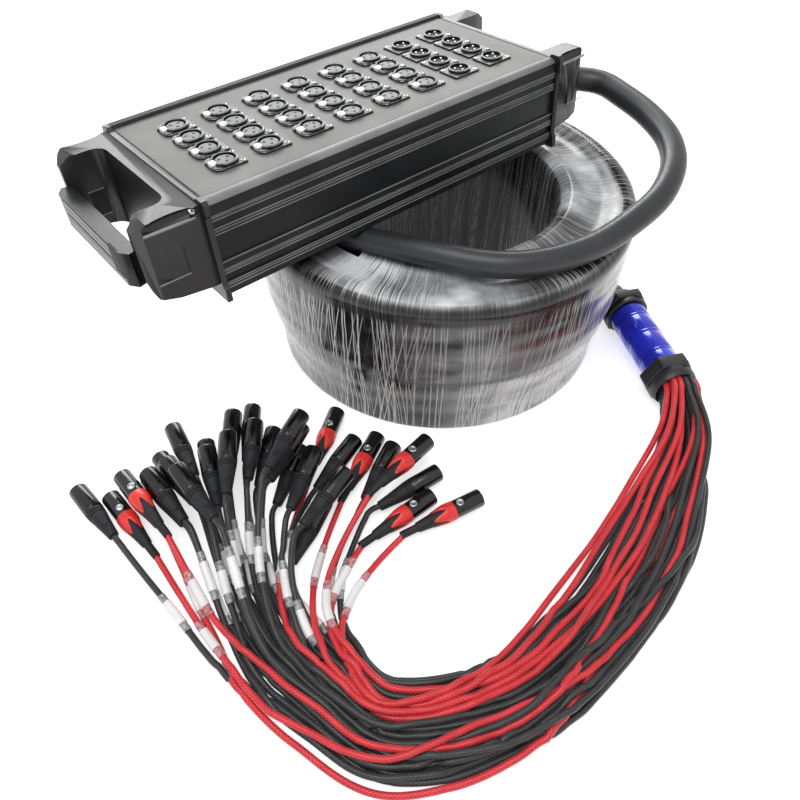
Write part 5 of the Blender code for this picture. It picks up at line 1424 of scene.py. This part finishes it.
def makeHandleBar():
    # two long grooves outside the grip bar, near-black strips of painted shade each with a pale strip below,
    # and small ridges where it joins the near arm
    details = []
    front = -cap["barFront"]
    for z, look in ((-0.0300, 0), (-0.0385, 2), (-0.0440, 0), (-0.0500, 2)):
        groove = boxBody((front - 0.0003, -0.054, z - 0.0006), (front + 0.0006, 0.054, z + 0.0006))
        details.append((groove, look))
    for index in range(8):
        y = -0.0610 + index * 0.0022
        ridge = boxBody((front - 0.0006, y, cap["barBottom"] + 0.006),
                        (front + 0.0020, y + 0.0012, cap["barTop"] + 0.0004))
        details.append((roundEdges(ridge, 0.0004, 1), 1))
    finishPiece("bar_grooves", moved(joinBodies(details), boxPlace),
                ["grooveShadow", "mouldedAbs", "paleMouldingEdge"], replaced=("handle_end_cap",))


makeCap("handle_cap", "handle_end_cap", -1, cap["tip"])
makeCap("cable_cap", "cable_end_cap", 1, cap["tip"] - 0.007)
makeHandleBar()
glandPiece = finishPiece("gland_body", refinedNode("cable_gland"), ["mouldedNylon"],
                         replaced=("cable_gland",))
bevelled(glandPiece, 0.0007, 2)
print("caps and gland made")

# Floor, backdrop and soft light
studio = {"floor": 6.0, "floorZ": -0.0005, "white": "#f4f4f4", "floorGlow": 0.62, "diffuseSky": 0.52}
# each lamp: place, aim, width, height and power
lamps = {"key": ((-0.55, -0.25, 1.75), (0.0, 0.0, 0.1), 1.1, 1.1, 14.0),
         "sheen": ((0.75, 1.35, 0.95), (-0.05, 0.05, 0.28), 1.6, 0.6, 24.0)}


def rayShare(tree):
    # 1 for rays that see the surroundings as they are: camera, glossy and transmission
    path = addNode(tree, "LightPath")
    seen = addNode(tree, "Math", {"operation": "MAXIMUM"},
                   {0: path.outputs["Is Camera Ray"], 1: path.outputs["Is Glossy Ray"]})
    return addNode(tree, "Math", {"operation": "MAXIMUM"},
                   {0: seen.outputs[0], 1: path.outputs["Is Transmission Ray"]}).outputs[0]


def makeStudio():
    bm = bmesh.new()
    bmesh.ops.create_grid(bm, x_segments=1, y_segments=1, size=studio["floor"])
    floor = linked("floor", keepBody(bm))
    floor.location.z = studio["floorZ"]
    tree, shader = newFinish("backdropPaper", {"Base Color": linear(studio["white"]), "Roughness": 0.9,
                                               "Specular IOR Level": 0.0, "Emission Color": (1, 1, 1, 1)})
    glow = addNode(tree, "Math", {"operation": "MULTIPLY", 1: studio["floorGlow"]}, {0: rayShare(tree)})
    tree.links.new(glow.outputs[0], shader.inputs["Emission Strength"])
    floor.data.materials.append(finish["backdropPaper"])
    world = bpy.data.worlds.new("studio")
    bpy.context.scene.world = world
    world.use_nodes = True
    tree = world.node_tree
    sky = tree.nodes["Background"]
    sky.inputs["Color"].default_value = (1, 1, 1, 1)
    level = addNode(tree, "MapRange", {"To Min": studio["diffuseSky"], "To Max": 1.0},
                    {"Value": rayShare(tree)})
    tree.links.new(level.outputs["Result"], sky.inputs["Strength"])
    for name, (place, aim, width, height, power) in lamps.items():
        light = bpy.data.lights.new(name, "AREA")
        light.shape = "RECTANGLE"
        light.size = width
        light.size_y = height
        light.energy = power
        lamp = linked(name, light)
        lamp.location = place
        lamp.rotation_euler = (Vector(aim) - Vector(place)).to_track_quat("-Z", "Y").to_euler()


makeStudio()
bpy.context.scene.view_settings.view_transform = "Standard"
